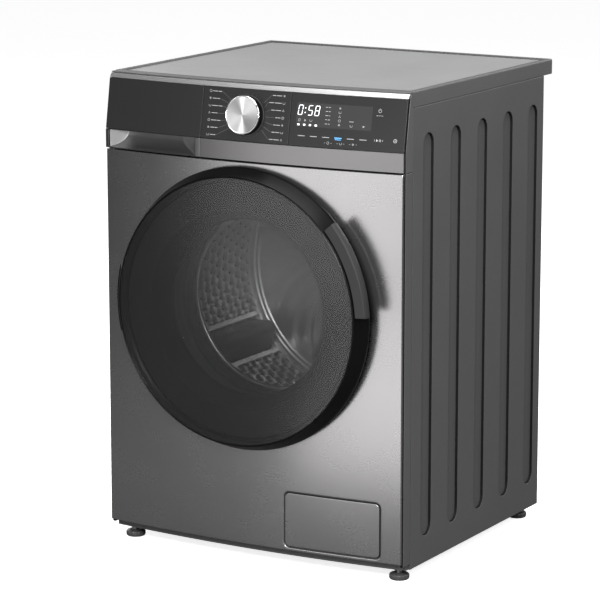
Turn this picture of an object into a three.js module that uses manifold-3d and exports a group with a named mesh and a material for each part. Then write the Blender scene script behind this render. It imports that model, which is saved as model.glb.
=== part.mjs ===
// Front load washing machine, in millimetres, +Z up.
// The front faces -Y. The origin is under the middle of the machine, on the floor.
// Every sub-part is drawn in "machine" coordinates, whose y = 0 is the plane through
// the two outer edges of the curved front panel. One group then moves the whole machine
// so that the box around it is centred on the origin.

import * as THREE from 'three';
import { mergeVertices } from 'three/addons/utils/BufferGeometryUtils.js';
import Module from 'manifold-3d';

const wasm = await Module();
wasm.setup();

// ---------------------------------------------------------------- driving dimensions

const WIDTH = 597;               // over the side panels and the worktop
const HEIGHT = 850;              // floor to worktop
const CABINET_BACK = 536;        // rear face of the sheet cabinet
const WORKTOP_BACK = 566;        // rear edge of the worktop, which overhangs the back
const DOOR_FRONT = -66;          // crown of the door glass
const MID_Y = (DOOR_FRONT + WORKTOP_BACK) / 2;

const HALF = WIDTH / 2;
const SHEET = 2;                 // folded sheet of the cabinet
const BOW = 18;                  // how far the front bulges in plan, middle against edges
const BOW_HALF = 298;            // half width over which it bulges
const BOW_RADIUS = (BOW_HALF ** 2 + BOW ** 2) / (2 * BOW);
const BOW_STEPS = 16;

const SIDE_BOTTOM = 21.5;
const SIDE_TOP = 822;
const SIDE_SEAM = 31.7;          // where the folded front edge meets the side
const STRIP_FRONT = 7;           // front edge of that folded strip
const FRONT_BOTTOM = 37;
const FRONT_TOP = 713.5;
const BAND_BOTTOM = 716;
const BAND_TOP = 749.5;
const FASCIA_BOTTOM = 750;
const FASCIA_TOP = 838.3;
const FASCIA_LEAN = 14.5;        // the fascia's top lies this far behind its bottom
const LIP_TOP = 846.8;           // underside of the worktop's front lip

const DRAWER_SPLIT = -91.5;      // joint line between the drawer and the fascia
const DISPLAY_SPLIT = 84;        // joint line between the fascia and the display cover
const SPLIT_GAP = 0.8;

const AXIS_Z = 459;              // height of the door, tub and drum axis
const RING_RADIUS = 248.5;       // widest radius of the door
const GLASS_RADIUS = 233.4;
const APERTURE = 175;            // hole in the front panel
const DISH = 212;                // dished ring around that hole
const DISH_FLOOR = 5;
const HINGE = { x: -228, y: -34 };

const TUB_RADIUS = 256;
const TUB_WALL = 4;
const TUB_SPLIT = 240;           // joint between the two tub halves
const TUB_BACK = 424;
const DRUM_RADIUS = 238;
const DRUM_FRONT = 78;
const DRUM_BACK = 385;
const PULLEY = { radius: 145, y0: 482, y1: 498 };
const MOTOR = { x: 0, z: 137, radius: 60, pulley: 11.5 };
const DAMPER = { x: 150, y: 180 };
const SPRING = { x: 200, y: 340 };

const FLAP = { x0: 77.5, x1: 257.5, z0: 45.2, z1: 141 };
const FLAP_GAP = 2;
const PUMP = { x: 168, z: 93 };
const KNOB = { x: -1, z: 794, radius: 34, height: 16 };
const FOOT = { x: 272, front: 42, back: 502 };
const RIBS = { count: 5, first: 87.5, pitch: 100.5, half: 19, z0: 70, z1: 774, depth: 5 };

// ------------------------------------------------------------------------- materials

const finish = (color, roughness, metalness, opacity = 1) =>
  new THREE.MeshStandardMaterial({ color, roughness, metalness, opacity, transparent: opacity < 1 });

const FINISH = {
  sideSheet: () => finish(0x4a4a4b, 0.5, 0.3),
  frontSteel: () => finish(0x7f7c7d, 0.35, 0.8),
  silver: () => finish(0xc4c4c6, 0.25, 0.9),
  worktop: () => finish(0x57575a, 0.5, 0),
  inlay: () => finish(0xb4b4b6, 0.25, 0.1),
  gloss: () => finish(0x1a1a1b, 0.15, 0),
  black: () => finish(0x101011, 0.45, 0),
  grip: () => finish(0x343436, 0.4, 0),
  glass: () => finish(0x2a2a2c, 0.05, 0, 0.5),
  clear: () => finish(0x9aa3a6, 0.05, 0, 0.35),
  rubber: () => finish(0x55575a, 0.8, 0),
  greyPlastic: () => finish(0x8d9093, 0.6, 0),
  whitePlastic: () => finish(0xd9dbdc, 0.5, 0),
  stainless: () => finish(0xb9bcbe, 0.3, 1),
  steel: () => finish(0x9c9ea0, 0.4, 0.9),
  iron: () => finish(0x6b6d6f, 0.8, 0.4),
};

// --------------------------------------------------------------------- solid helpers

/** Turns a closed geometry into a solid, with its faces pointing out. */
function solid(geometry) {
  const bare = geometry.clone();
  bare.deleteAttribute('normal');
  bare.deleteAttribute('uv');
  const merged = mergeVertices(bare, 1e-3);
  const points = new Float32Array(merged.attributes.position.array);
  const triangles = new Uint32Array(merged.index.array);
  if (signedVolume(points, triangles) < 0) {
    for (let i = 0; i < triangles.length; i += 3) {
      [triangles[i], triangles[i + 1]] = [triangles[i + 1], triangles[i]];
    }
  }
  return new wasm.Manifold(new wasm.Mesh({ numProp: 3, vertProperties: points, triVerts: triangles }));
}

function signedVolume(p, t) {
  const a = new THREE.Vector3(), b = new THREE.Vector3(), c = new THREE.Vector3();
  let sum = 0;
  for (let i = 0; i < t.length; i += 3) {
    a.fromArray(p, 3 * t[i]);
    b.fromArray(p, 3 * t[i + 1]);
    c.fromArray(p, 3 * t[i + 2]);
    sum += a.dot(b.cross(c)) / 6;
  }
  return sum;
}

/** Turns a solid back into a geometry. */
function geometryOf(body) {
  const mesh = body.getMesh();
  const geometry = new THREE.BufferGeometry();
  geometry.setAttribute('position', new THREE.BufferAttribute(new Float32Array(mesh.vertProperties), 3));
  geometry.setIndex(new THREE.BufferAttribute(new Uint32Array(mesh.triVerts), 1));
  geometry.computeVertexNormals();
  return geometry;
}

/** Adds a named sub-part to a group. */
function part(group, name, body, material) {
  const mesh = new THREE.Mesh(geometryOf(body), material);
  mesh.name = name;
  group.add(mesh);
}

const union = (...bodies) => bodies.reduce((sum, body) => sum.add(body));

/** A box between two corners. */
function box(x0, x1, y0, y1, z0, z1) {
  const geometry = new THREE.BoxGeometry(x1 - x0, y1 - y0, z1 - z0);
  return solid(geometry.translate((x0 + x1) / 2, (y0 + y1) / 2, (z0 + z1) / 2));
}

function shapeOf(points) {
  return new THREE.Shape(points.map(([x, y]) => new THREE.Vector2(x, y)));
}

/** An outline drawn in x and z, carried from y0 to y1. */
function prismY(shape, y0, y1, curveSegments = 8) {
  const options = { depth: y1 - y0, bevelEnabled: false, curveSegments };
  return solid(new THREE.ExtrudeGeometry(shape, options).rotateX(Math.PI / 2).translate(0, y1, 0));
}

/** An outline drawn in x and y, carried from z0 to z1. */
function prismZ(shape, z0, z1, curveSegments = 8) {
  const options = { depth: z1 - z0, bevelEnabled: false, curveSegments };
  return solid(new THREE.ExtrudeGeometry(shape, options).translate(0, 0, z0));
}

/** An outline drawn in y and z, carried from x0 to x1 in equal steps. */
function prismXGeometry(shape, x0, x1, steps = 1, curveSegments = 8) {
  const options = { depth: x1 - x0, steps, bevelEnabled: false, curveSegments };
  const toX = new THREE.Matrix4().set(0, 0, 1, x0, 1, 0, 0, 0, 0, 1, 0, 0, 0, 0, 0, 1);
  return new THREE.ExtrudeGeometry(shape, options).applyMatrix4(toX);
}

const prismX = (shape, x0, x1) => solid(prismXGeometry(shape, x0, x1));

/** How far the front surface stands forward of y = 0 at a given x. */
function bow(x) {
  return BOW_RADIUS - BOW - Math.sqrt(BOW_RADIUS ** 2 - x ** 2);
}

/** Cuts a front piece back where it would meet the folded edges of the side panels. */
function clearOfSides(body) {
  const strip = shapeOf([
    [STRIP_FRONT - 1, 0], [STRIP_FRONT - 1, FASCIA_BOTTOM], [STRIP_FRONT - 1 + FASCIA_LEAN, FASCIA_TOP],
    [25, 846.7], [60, 846.7], [60, 0],
  ]);
  const inner = HALF - SHEET - 0.4;
  return body.subtract(prismX(strip, inner, HALF + 1)).subtract(prismX(strip, -HALF - 1, -inner));
}

/** A section of y and z carried along x, each slice moved to the bulging front. */
function bowed(section, x0, x1) {
  const steps = Math.max(1, Math.round(BOW_STEPS * (x1 - x0) / WIDTH));
  const geometry = prismXGeometry(shapeOf(section), x0, x1, steps);
  const position = geometry.attributes.position;
  for (let i = 0; i < position.count; i++) {
    position.setY(i, position.getY(i) + bow(position.getX(i)));
  }
  return solid(geometry);
}

/** A ring or disc turned about a Y axis through (x, z); the profile is [radius, y] pairs. */
function turnedY(profile, x, z, segments = 48) {
  const points = [...profile, profile[0]].map(([r, y]) => new THREE.Vector2(r, y));
  return solid(new THREE.LatheGeometry(points, segments).translate(x, 0, z));
}

/** The same about a Z axis through (x, y); the profile is [radius, z] pairs. */
function turnedZ(profile, x, y, segments = 24) {
  const points = [...profile, profile[0]].map(([r, z]) => new THREE.Vector2(r, z));
  return solid(new THREE.LatheGeometry(points, segments).rotateX(Math.PI / 2).translate(x, y, 0));
}

const discY = (r, y0, y1, x, z, segments) =>
  turnedY([[0, y0], [r, y0], [r, y1], [0, y1]], x, z, segments);
const discZ = (r, z0, z1, x, y, segments) =>
  turnedZ([[0, z0], [r, z0], [r, z1], [0, z1]], x, y, segments);

/** A rectangle with round corners, drawn between two corners. */
function roundedShape(a0, a1, b0, b1, r) {
  const shape = new THREE.Shape();
  shape.absarc(a1 - r, b0 + r, r, -Math.PI / 2, 0);
  shape.absarc(a1 - r, b1 - r, r, 0, Math.PI / 2);
  shape.absarc(a0 + r, b1 - r, r, Math.PI / 2, Math.PI);
  shape.absarc(a0 + r, b0 + r, r, Math.PI, 1.5 * Math.PI);
  shape.closePath();
  return shape;
}

/** A round tube along a smooth curve through points. */
function tubeAlong(points, radius, sides, steps) {
  const path = new THREE.CatmullRomCurve3(points.map((p) => new THREE.Vector3(...p)));
  const section = shapeOf([...Array(sides).keys()].map((i) => {
    const angle = (2 * Math.PI * i) / sides;
    return [radius * Math.cos(angle), radius * Math.sin(angle)];
  }));
  return solid(new THREE.ExtrudeGeometry(section, { steps, bevelEnabled: false, extrudePath: path }));
}

/** A wedge between two angles about the main axis, measured from +X towards +Z. */
function wedge(from, to, reach, y0, y1) {
  const points = [[0, AXIS_Z]];
  const steps = Math.ceil((to - from) / 20);
  for (let i = 0; i <= steps; i++) {
    const angle = THREE.MathUtils.degToRad(from + ((to - from) * i) / steps);
    points.push([reach * Math.cos(angle), AXIS_Z + reach * Math.sin(angle)]);
  }
  return prismY(shapeOf(points), y0, y1);
}

// --------------------------------------------------------------------------- cabinet

/** A side panel: sheet with pressed channels, a folded front strip and a spring hanger. */
function sidePanel(side) {
  const outer = side * HALF;
  const inner = side * (HALF - SHEET);
  const span = (a, b) => [Math.min(a, b), Math.max(a, b)];
  const outline = shapeOf([
    [SIDE_SEAM, SIDE_BOTTOM], [CABINET_BACK - 2.5, SIDE_BOTTOM], [CABINET_BACK - 2.5, SIDE_TOP],
    [SIDE_SEAM, SIDE_TOP], [SIDE_SEAM, 846], [26, 846], [STRIP_FRONT + FASCIA_LEAN, FASCIA_TOP],
    [STRIP_FRONT, FASCIA_BOTTOM], [STRIP_FRONT, SIDE_BOTTOM + 10], [SIDE_SEAM, SIDE_BOTTOM + 10],
  ]);
  const strip = box(...span(inner, inner - side * 4), STRIP_FRONT, 24, FRONT_BOTTOM + 2, FRONT_TOP - 12);
  const hanger = box(...span(inner, side * (SPRING.x - 12)), SPRING.y - 14, SPRING.y + 14, 792, 797);
  let panel = union(prismX(outline, ...span(outer, inner)), strip, hanger);
  for (let i = 0; i < RIBS.count; i++) {
    panel = panel.add(channel(i, SHEET, ...span(outer, inner - side * RIBS.depth)));
  }
  for (let i = 0; i < RIBS.count; i++) {
    panel = panel.subtract(channel(i, 0, ...span(outer + side, outer - side * RIBS.depth)));
  }
  const seam = box(...span(outer + side, outer - side), SIDE_SEAM - 0.5, SIDE_SEAM + 0.5, 0, 900);
  return panel.subtract(seam);
}

/** One upright channel, wider by a margin all round, between two x values. */
function channel(index, margin, x0, x1) {
  const middle = RIBS.first + index * RIBS.pitch;
  const half = RIBS.half + margin;
  const shape = roundedShape(middle - half, middle + half, RIBS.z0 - margin, RIBS.z1 + margin, half - 0.01);
  return solid(prismXGeometry(shape, x0, x1, 1, 1));
}

/** The rear sheet, with its service opening and the holes for the valve and the cord. */
function rearPanel() {
  const sheet = box(-HALF + 0.4, HALF - 0.4, CABINET_BACK - SHEET, CABINET_BACK, 22, SIDE_TOP);
  const opening = prismY(roundedShape(-165, 165, 290, 640, 40), 500, 560, 3);
  return sheet.subtract(opening)
    .subtract(discY(16, 500, 560, -225, 772, 14))
    .subtract(discY(9, 500, 560, 225, 772, 14));
}

/** The screwed-on rear cover, dished outwards, with pressed ribs. */
function rearCover() {
  const rim = prismY(roundedShape(-180, 180, 275, 655, 50), CABINET_BACK + 0.3, CABINET_BACK + 2.3, 3);
  const dome = prismY(roundedShape(-158, 158, 297, 633, 36), CABINET_BACK + 0.3, CABINET_BACK + 12, 3);
  const hollow = prismY(roundedShape(-156, 156, 299, 631, 34), CABINET_BACK - 5, CABINET_BACK + 10, 3);
  let cover = rim.add(dome).subtract(hollow);
  for (let i = -2; i <= 2; i++) {
    cover = cover.add(box(-130, 130, CABINET_BACK + 11, CABINET_BACK + 14, 461 + 60 * i, 469 + 60 * i));
  }
  return cover;
}

/** The plan outline of the base, its front bulging like the panel above it. */
function basePlan(inset) {
  const x = HALF - SHEET - 0.5 - inset;
  const points = [];
  for (let i = 0; i <= 12; i++) {
    const at = -x + (2 * x * i) / 12;
    points.push([at, bow(at) + STRIP_FRONT + inset]);
  }
  return shapeOf([...points, [x, CABINET_BACK - 4 - inset], [-x, CABINET_BACK - 4 - inset]]);
}

/** The moulded base tray, with a boss at each foot. */
function baseTray() {
  let tray = prismZ(basePlan(0), SIDE_BOTTOM + 0.3, 36.5).subtract(prismZ(basePlan(3), 25.5, 60));
  for (const [x, y] of footPlaces()) {
    tray = tray.add(discZ(15, 24, 44, x, y, 12));
  }
  tray = tray.intersect(prismZ(basePlan(0), 0, 60));
  for (const [x, y] of footPlaces()) {
    tray = tray.subtract(discZ(6, 0, 60, x, y, 12));
  }
  return tray;
}

function footPlaces() {
  return [[-FOOT.x, FOOT.front], [FOOT.x, FOOT.front], [-FOOT.x, FOOT.back], [FOOT.x, FOOT.back]];
}

/** A screw-in foot: a knurled pad on a threaded stem. */
function foot(x, y) {
  return turnedZ([[0, 0], [16, 0], [18, 3], [18, 9], [14, 12], [5, 12], [5, 62], [0, 62]], x, y, 12);
}

/** The curved steel front, with the door aperture's dish and the flap opening. */
function frontPanel() {
  const half = BOW_HALF - 0.4;
  const plate = bowed([
    [0, FRONT_BOTTOM], [0, FRONT_TOP], [14, FRONT_TOP], [14, FRONT_TOP - 2.5], [2.5, FRONT_TOP - 2.5],
    [2.5, FRONT_BOTTOM + 2.5], [6, FRONT_BOTTOM + 2.5], [6, FRONT_BOTTOM],
  ], -half, half);
  const behind = bowed([[0, 100], [0, 700], [60, 700], [60, 100]], -half, half);
  const dish = turnedY([
    [APERTURE, DISH_FLOOR], [DISH, DISH_FLOOR], [DISH, -30], [DISH + 2.5, -30],
    [DISH + 2.5, DISH_FLOOR + 2.5], [APERTURE, DISH_FLOOR + 2.5],
  ], 0, AXIS_Z, 36).intersect(behind);
  const hole = discY(DISH + 1, -60, 60, 0, AXIS_Z, 36);
  const flapHole = prismY(roundedShape(
    FLAP.x0 - FLAP_GAP, FLAP.x1 + FLAP_GAP, FLAP.z0 - FLAP_GAP, FLAP.z1 + FLAP_GAP, 10), -60, 60, 4);
  const latchSlot = box(188, 202, 0, 20, 436, 482);
  return clearOfSides(plate.subtract(hole).add(dish).subtract(flapHole).subtract(latchSlot));
}

/** The worktop's plastic frame: skirt, inlay pocket and the sloping front lip. */
function worktopFrame() {
  const block = box(-HALF, HALF, 40, WORKTOP_BACK, SIDE_TOP + 0.4, HEIGHT);
  const skirts = [-1, 1].map((side) => {
    const [x0, x1] = [side * HALF, side * (HALF - 4)].sort((a, b) => a - b);
    return box(x0, x1, SIDE_SEAM + 0.5, 41, SIDE_TOP + 0.4, 847.5);
  });
  const lip = bowed([[21.5, LIP_TOP], [21.5, 848.6], [40, HEIGHT], [60, HEIGHT], [60, LIP_TOP]], -HALF, HALF);
  return union(block, ...skirts, lip)
    .subtract(box(-HALF + 4, HALF - 4, 0, CABINET_BACK + 14, 800, 834))
    .subtract(box(-HALF + 4, HALF - 4, 0, 46, 800, 840))
    .subtract(box(-280, 280, 66, 542, 820, 841))
    .subtract(inlayBlock(0.5, 839.7, HEIGHT + 5));
}

/** The glossy inlay's block, wider by a margin all round. */
function inlayBlock(margin, z0, z1) {
  const half = HALF - 10 + margin;
  const front = bowed([[42 - margin, z0], [42 - margin, z1], [130, z1], [130, z0]], -half, half);
  return front.add(box(-half, half, 90, WORKTOP_BACK - 10 + margin, z0, z1));
}

// -------------------------------------------------------------------- control panel

/** The y and z section of the leaning fascia skin, hollow at the back. */
const fasciaSection = (skin, depth, z0 = FASCIA_BOTTOM, z1 = FASCIA_TOP) => {
  const lean = (z) => ((z - FASCIA_BOTTOM) / (FASCIA_TOP - FASCIA_BOTTOM)) * FASCIA_LEAN - 0.5;
  return [
    [lean(z0), z0], [lean(z1), z1], [depth, z1], [depth, z1 - skin],
    [lean(z1) + skin, z1 - skin], [lean(z0) + skin, z0 + skin], [depth, z0 + skin], [depth, z0],
  ];
};

function controlFascia() {
  const body = bowed(fasciaSection(3, 30), DRAWER_SPLIT + SPLIT_GAP, DISPLAY_SPLIT - SPLIT_GAP / 2);
  return body.subtract(knobTurned([[0, -20], [5, -20], [5, 20], [0, 20]], 16));
}

function displayCover() {
  return clearOfSides(bowed(fasciaSection(3, 30), DISPLAY_SPLIT + SPLIT_GAP / 2, BOW_HALF - 0.8));
}

function trimBand() {
  return clearOfSides(bowed([
    [-1.2, BAND_BOTTOM], [-1.2, BAND_TOP - 1.2], [0, BAND_TOP], [30, BAND_TOP], [30, BAND_TOP - 3],
    [2, BAND_TOP - 3], [2, BAND_BOTTOM + 3], [30, BAND_BOTTOM + 3], [30, BAND_BOTTOM],
  ], DRAWER_SPLIT + SPLIT_GAP, BOW_HALF - 0.8));
}

function silverStrip() {
  const section = [[14.2, 838.8], [20.6, 846.4], [25, 846.4], [25, 838.8]];
  return clearOfSides(bowed(section, -BOW_HALF + 0.4, BOW_HALF - 0.4));
}

/** The point where the knob's axis meets the fascia, and the axis itself. */
function knobFrame() {
  const rise = FASCIA_TOP - FASCIA_BOTTOM;
  const y = bow(KNOB.x) - 0.5 + ((KNOB.z - FASCIA_BOTTOM) / rise) * FASCIA_LEAN;
  return { y, tilt: Math.atan2(FASCIA_LEAN, rise) };
}

/** A shape turned about the knob's axis; the profile is [radius, height above the fascia]. */
function knobTurned(profile, segments) {
  const { y, tilt } = knobFrame();
  const points = [...profile, profile[0]].map(([r, h]) => new THREE.Vector2(r, h));
  const geometry = new THREE.LatheGeometry(points, segments);
  return solid(geometry.rotateX(Math.PI - tilt).translate(KNOB.x, y, KNOB.z));
}

function knob() {
  const { radius, height } = KNOB;
  return knobTurned([
    [0, -12], [4, -12], [4, 0.6], [radius + 1.5, 0.6], [radius + 1.5, 2.5],
    [radius, height - 2], [radius - 1.2, height], [0, height],
  ], 36);
}

// ---------------------------------------------------------------------------- drawer

const TRAY = { x0: -287, x1: -101.5, y0: 40.4, y1: 280, z0: 759, z1: 827, wall: 2.4 };

/** The drawer's front: a leaning face over a scooped grip. */
function drawerFront() {
  const x0 = -BOW_HALF + 0.8;
  const x1 = DRAWER_SPLIT;
  const face = bowed([
    [-0.8, BAND_BOTTOM], [-0.8, FASCIA_BOTTOM - 2], [-0.5, FASCIA_BOTTOM], [FASCIA_LEAN - 0.5, FASCIA_TOP],
    [20, FASCIA_TOP], [26, 766], [50, 766], [50, BAND_BOTTOM],
  ], x0, x1);
  const back = box(x0, x1, 40, 100, 700, 900);
  const scoop = bowed(scoopSection(), SCOOP.x0, SCOOP.x1).intersect(prismZ(scoopPlan(), 700, 800));
  return clearOfSides(face.subtract(back).subtract(scoop));
}

const SCOOP = { x0: -291, x1: -102, depth: 38, z0: 717.5, z1: 747.5, roof: 762 };

/** A quarter ellipse that rises from the front edge to the back wall, then finger room. */
function scoopSection() {
  const points = [[-30, SCOOP.z0], [0, SCOOP.z0]];
  const steps = 7;
  for (let i = 1; i <= steps; i++) {
    const angle = (Math.PI / 2) * (i / steps);
    const rise = (SCOOP.z1 - SCOOP.z0) * (1 - Math.cos(angle));
    points.push([SCOOP.depth * Math.sin(angle), SCOOP.z0 + rise]);
  }
  return [...points, [SCOOP.depth, SCOOP.roof], [6, SCOOP.roof], [6, SCOOP.z1], [-30, SCOOP.z1]];
}

/** The scoop in plan: both ends slant inwards towards the back. */
function scoopPlan() {
  const corner = (x, y) => [x, bow(x) + y];
  return shapeOf([
    corner(SCOOP.x0, -40), corner(SCOOP.x0, 0), corner(SCOOP.x0 + 20, SCOOP.depth + 1),
    corner(SCOOP.x1 - 60, SCOOP.depth + 1), corner(SCOOP.x1, 0), corner(SCOOP.x1, -40),
  ]);
}

/** The detergent tray, with three open compartments. */
function drawerTray() {
  const { x0, x1, y0, y1, z0, z1, wall } = TRAY;
  const third = (x1 - x0 - wall) / 3;
  let tray = box(x0, x1, y0, y1, z0, z1);
  for (let i = 0; i < 3; i++) {
    const left = x0 + wall + i * third;
    tray = tray.subtract(box(left, left + third - wall, y0 + wall, y1 - wall, z0 + wall, z1 + 5));
  }
  return tray;
}

/** The fixed box that the drawer slides in, with the spout to the tub at its back. */
function dispenserHousing() {
  const outer = box(-290.8, -97, 41, 300, 753, 832.5);
  const spout = discY(16, 299, 318, -195, 775, 20);
  return union(outer, spout)
    .subtract(box(-288.6, -99.4, 30, 297, 756, 830))
    .subtract(discY(13, 290, 330, -195, 775, 20));
}

// ------------------------------------------------------------------------------ door

function doorGlass() {
  const crown = [];
  const steps = 3;
  for (let i = 0; i <= steps; i++) {
    const r = (GLASS_RADIUS * i) / steps;
    crown.push([r, DOOR_FRONT + 7 * (i / steps) ** 2]);
  }
  const back = [...crown].reverse().map(([r, y]) => [r, y + 4]);
  return turnedY([...crown, ...back], 0, AXIS_Z, 40);
}

/** The door's outer rim, which flares back from the glass, with the hinge pocket. */
function doorRing() {
  const rim = turnedY([
    [227, -54], [227, -52.8], [234, -54.6], [234, -58.6], [236, -59.4], [RING_RADIUS - 1, -32],
    [RING_RADIUS, -27], [RING_RADIUS - 1, -23], [244, -20.2], [214, -20.2], [214, -26], [224, -30], [222, -50],
  ], 0, AXIS_Z, 40);
  return rim.subtract(box(-260, -196, -44, -10, 399, 519));
}

/** The door's inner frame: dark funnel behind the glass, and the seat of the bowl. */
function doorInnerRing() {
  const frame = turnedY([
    [221.2, -49.3], [174, -49.3], [155.5, -12.5], [169, -12.5], [169, -6.1], [154, -6.1], [154, -2.5],
    [172, -2.5], [206, -9], [206, -17.5], [212.8, -18.5], [212.8, -26], [203, -22.5], [176, -18],
    [181, -46.3], [221.2, -46.3],
  ], 0, AXIS_Z, 30);
  return frame.subtract(box(-260, -198, -44, -5, 399, 519)).subtract(box(188.5, 201.5, -28, 0, 440, 478));
}

/** The glass bowl that reaches through the gasket into the drum mouth. */
function doorBowl() {
  return turnedY([
    [167.6, -12.1], [167.6, -6.6], [152, -6.5], [149, 0], [128, 92], [120, 101], [104, 105], [0, 105],
    [0, 100], [103, 100], [117, 96.5], [123.4, 90], [144, 0], [148, -12.1],
  ], 0, AXIS_Z, 28);
}

/** The grip that stands out from the rim on the latch side. */
function doorHandle() {
  const section = turnedY([
    [237.6, -58.4], [257, -58.4], [261, -54], [261, -46], [257, -40], [245.6, -38.6],
  ], 0, AXIS_Z, 96);
  return section.intersect(wedge(-4, 46, 400, -80, 0));
}

/** The cast hinge bracket on the cabinet, with its pin. */
function hingeBracket() {
  const plate = box(-224, -201, -14.5, -10, AXIS_Z - 52, AXIS_Z + 52);
  const arm = shapeOf([[-224, -12], [-206, -12], [HINGE.x + 6, HINGE.y - 3], [HINGE.x - 5, HINGE.y - 3],
    [HINGE.x - 5, HINGE.y + 4]]);
  const arms = [-1, 1].map((s) => prismZ(arm, AXIS_Z + s * 44 - 5, AXIS_Z + s * 44 + 5));
  const pin = discZ(3, AXIS_Z - 44, AXIS_Z + 44, HINGE.x, HINGE.y, 20);
  return union(plate, ...arms, pin);
}

/** The door's half of the hinge: a sleeve on the pin and a plate on the inner frame. */
function hingeArm() {
  const sleeve = discZ(6.2, AXIS_Z - 38, AXIS_Z + 38, HINGE.x, HINGE.y, 20);
  const plate = box(HINGE.x, -199, -38, -33, AXIS_Z - 38, AXIS_Z + 38);
  const bore = discZ(3.5, AXIS_Z - 60, AXIS_Z + 60, HINGE.x, HINGE.y, 20);
  return sleeve.add(plate).subtract(bore);
}

/** The sprung hook that the lock holds. */
function latchHook() {
  const outline = shapeOf([
    [-16, 453], [14, 453], [14, 446], [24, 450], [24, 461], [18, 465], [-16, 465],
  ]);
  return prismX(outline, 192, 198);
}

function doorLock() {
  return box(183, 212, DISH_FLOOR + 2.9, 31, 425, 493).subtract(box(187.5, 202.5, 0, 28.5, 435, 483));
}

// --------------------------------------------------------------------- tub and drum

/** The rubber bellows between the front panel and the tub. */
function doorGasket() {
  return turnedY([
    [156, 3], [173.8, 3], [173.8, 9], [181, 14], [178, 24], [170, 30], [180, 38], [182, 44], [173, 48],
    [173, 60], [169, 60], [169, 44], [175, 42], [166, 30], [175, 20], [177, 14], [170, 11.5], [156, 8],
  ], 0, AXIS_Z, 20);
}

function tubFront() {
  return turnedY([
    [164, 50], [168, 50], [168, 66], [TUB_RADIUS - 6, 70], [TUB_RADIUS, 76], [TUB_RADIUS, 222],
    [TUB_RADIUS + 7, 222], [TUB_RADIUS + 7, TUB_SPLIT], [TUB_RADIUS - TUB_WALL, TUB_SPLIT],
    [TUB_RADIUS - TUB_WALL, 78], [TUB_RADIUS - 8, 74], [164, 70],
  ], 0, AXIS_Z, 20);
}

function tubRear() {
  const inner = TUB_RADIUS - TUB_WALL;
  return turnedY([
    [inner, TUB_SPLIT + 0.4], [TUB_RADIUS + 7, TUB_SPLIT + 0.4], [TUB_RADIUS + 7, TUB_SPLIT + 16],
    [TUB_RADIUS, TUB_SPLIT + 16], [TUB_RADIUS, TUB_BACK - 6], [TUB_RADIUS - 6, TUB_BACK],
    [60, 432], [48, 440], [42, 474], [26.3, 474], [26.3, 455.7], [20, 455.7], [20, 436.3],
    [31.3, 436.3], [31.3, 415], [42, 415], [46, 418], [inner - 4, 418], [inner, 414],
  ], 0, AXIS_Z, 20);
}

const bearing = (outer, inner, y0, y1) =>
  turnedY([[inner, y0], [outer, y0], [outer, y1], [inner, y1]], 0, AXIS_Z, 20);

/** The cast counterweight, open at the top where the gasket's drain boss sits. */
function counterweight() {
  const ring = turnedY([[184, 37], [246, 37], [246, 62], [184, 62]], 0, AXIS_Z, 32);
  return ring.subtract(wedge(70, 110, 400, 0, 80));
}

function drumShell() {
  return turnedY([
    [156, 76], [160, 75], [DRUM_RADIUS - 8, DRUM_FRONT], [DRUM_RADIUS, DRUM_FRONT + 8],
    [DRUM_RADIUS, DRUM_BACK - 0.4], [DRUM_RADIUS - 1.5, DRUM_BACK - 0.4], [DRUM_RADIUS - 1.5, DRUM_FRONT + 9],
    [DRUM_RADIUS - 9, DRUM_FRONT + 2], [160, 77], [158, 82], [156, 82],
  ], 0, AXIS_Z, 36);
}

function drumBack() {
  return turnedY([
    [0, 378], [60, 378], [80, 385], [DRUM_RADIUS - 1, DRUM_BACK], [DRUM_RADIUS - 1, DRUM_BACK + 3],
    [78, DRUM_BACK + 3], [60, 380], [0, 380],
  ], 0, AXIS_Z, 36);
}

/** A hollow-looking paddle on the drum wall, rounded at its crest. */
function lifter(angle) {
  const base = DRUM_RADIUS - 6;
  const outline = shapeOf([[-36, base - 1], [36, base - 1], [27, base - 12], [13, base - 44], [8, base - 50],
    [-8, base - 50], [-13, base - 44], [-27, base - 12]]);
  const length = 256;
  const geometry = new THREE.ExtrudeGeometry(outline, { depth: length, bevelEnabled: false });
  const turn = THREE.MathUtils.degToRad(angle);
  geometry.rotateX(Math.PI / 2).translate(0, 102 + length, 0).rotateY(Math.PI / 2 - turn);
  return solid(geometry.translate(0, 0, AXIS_Z));
}

/** The three-armed cast cross behind the drum. */
function spider() {
  let cross = discY(36, 389, 413, 0, AXIS_Z, 24);
  for (let i = 0; i < 3; i++) {
    const arm = new THREE.BoxGeometry(28, 14, 212).translate(0, 398, 116);
    cross = cross.add(solid(arm.rotateY((2 * Math.PI * i) / 3).translate(0, 0, AXIS_Z)));
  }
  return cross.subtract(discY(15.3, 380, 420, 0, AXIS_Z, 24));
}

const drumShaft = () => turnedY([
  [0, 390], [15, 390], [15, 453], [12.5, 453], [12.5, 503], [8, 503], [8, 512], [0, 512],
], 0, AXIS_Z, 24);

/** The big pulley, a rim and a web with round windows. */
function drumPulley() {
  const { radius, y0, y1 } = PULLEY;
  let wheel = turnedY([
    [12.8, 484], [24, 484], [24, 488], [radius - 8, 488], [radius - 8, y0], [radius, y0], [radius, y1],
    [radius - 8, y1], [radius - 8, 492], [24, 492], [24, 500], [12.8, 500],
  ], 0, AXIS_Z, 24);
  for (let i = 0; i < 6; i++) {
    const angle = (Math.PI / 3) * i;
    wheel = wheel.subtract(discY(30, 470, 510, 82 * Math.cos(angle), AXIS_Z + 82 * Math.sin(angle), 8));
  }
  return wheel;
}

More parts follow.
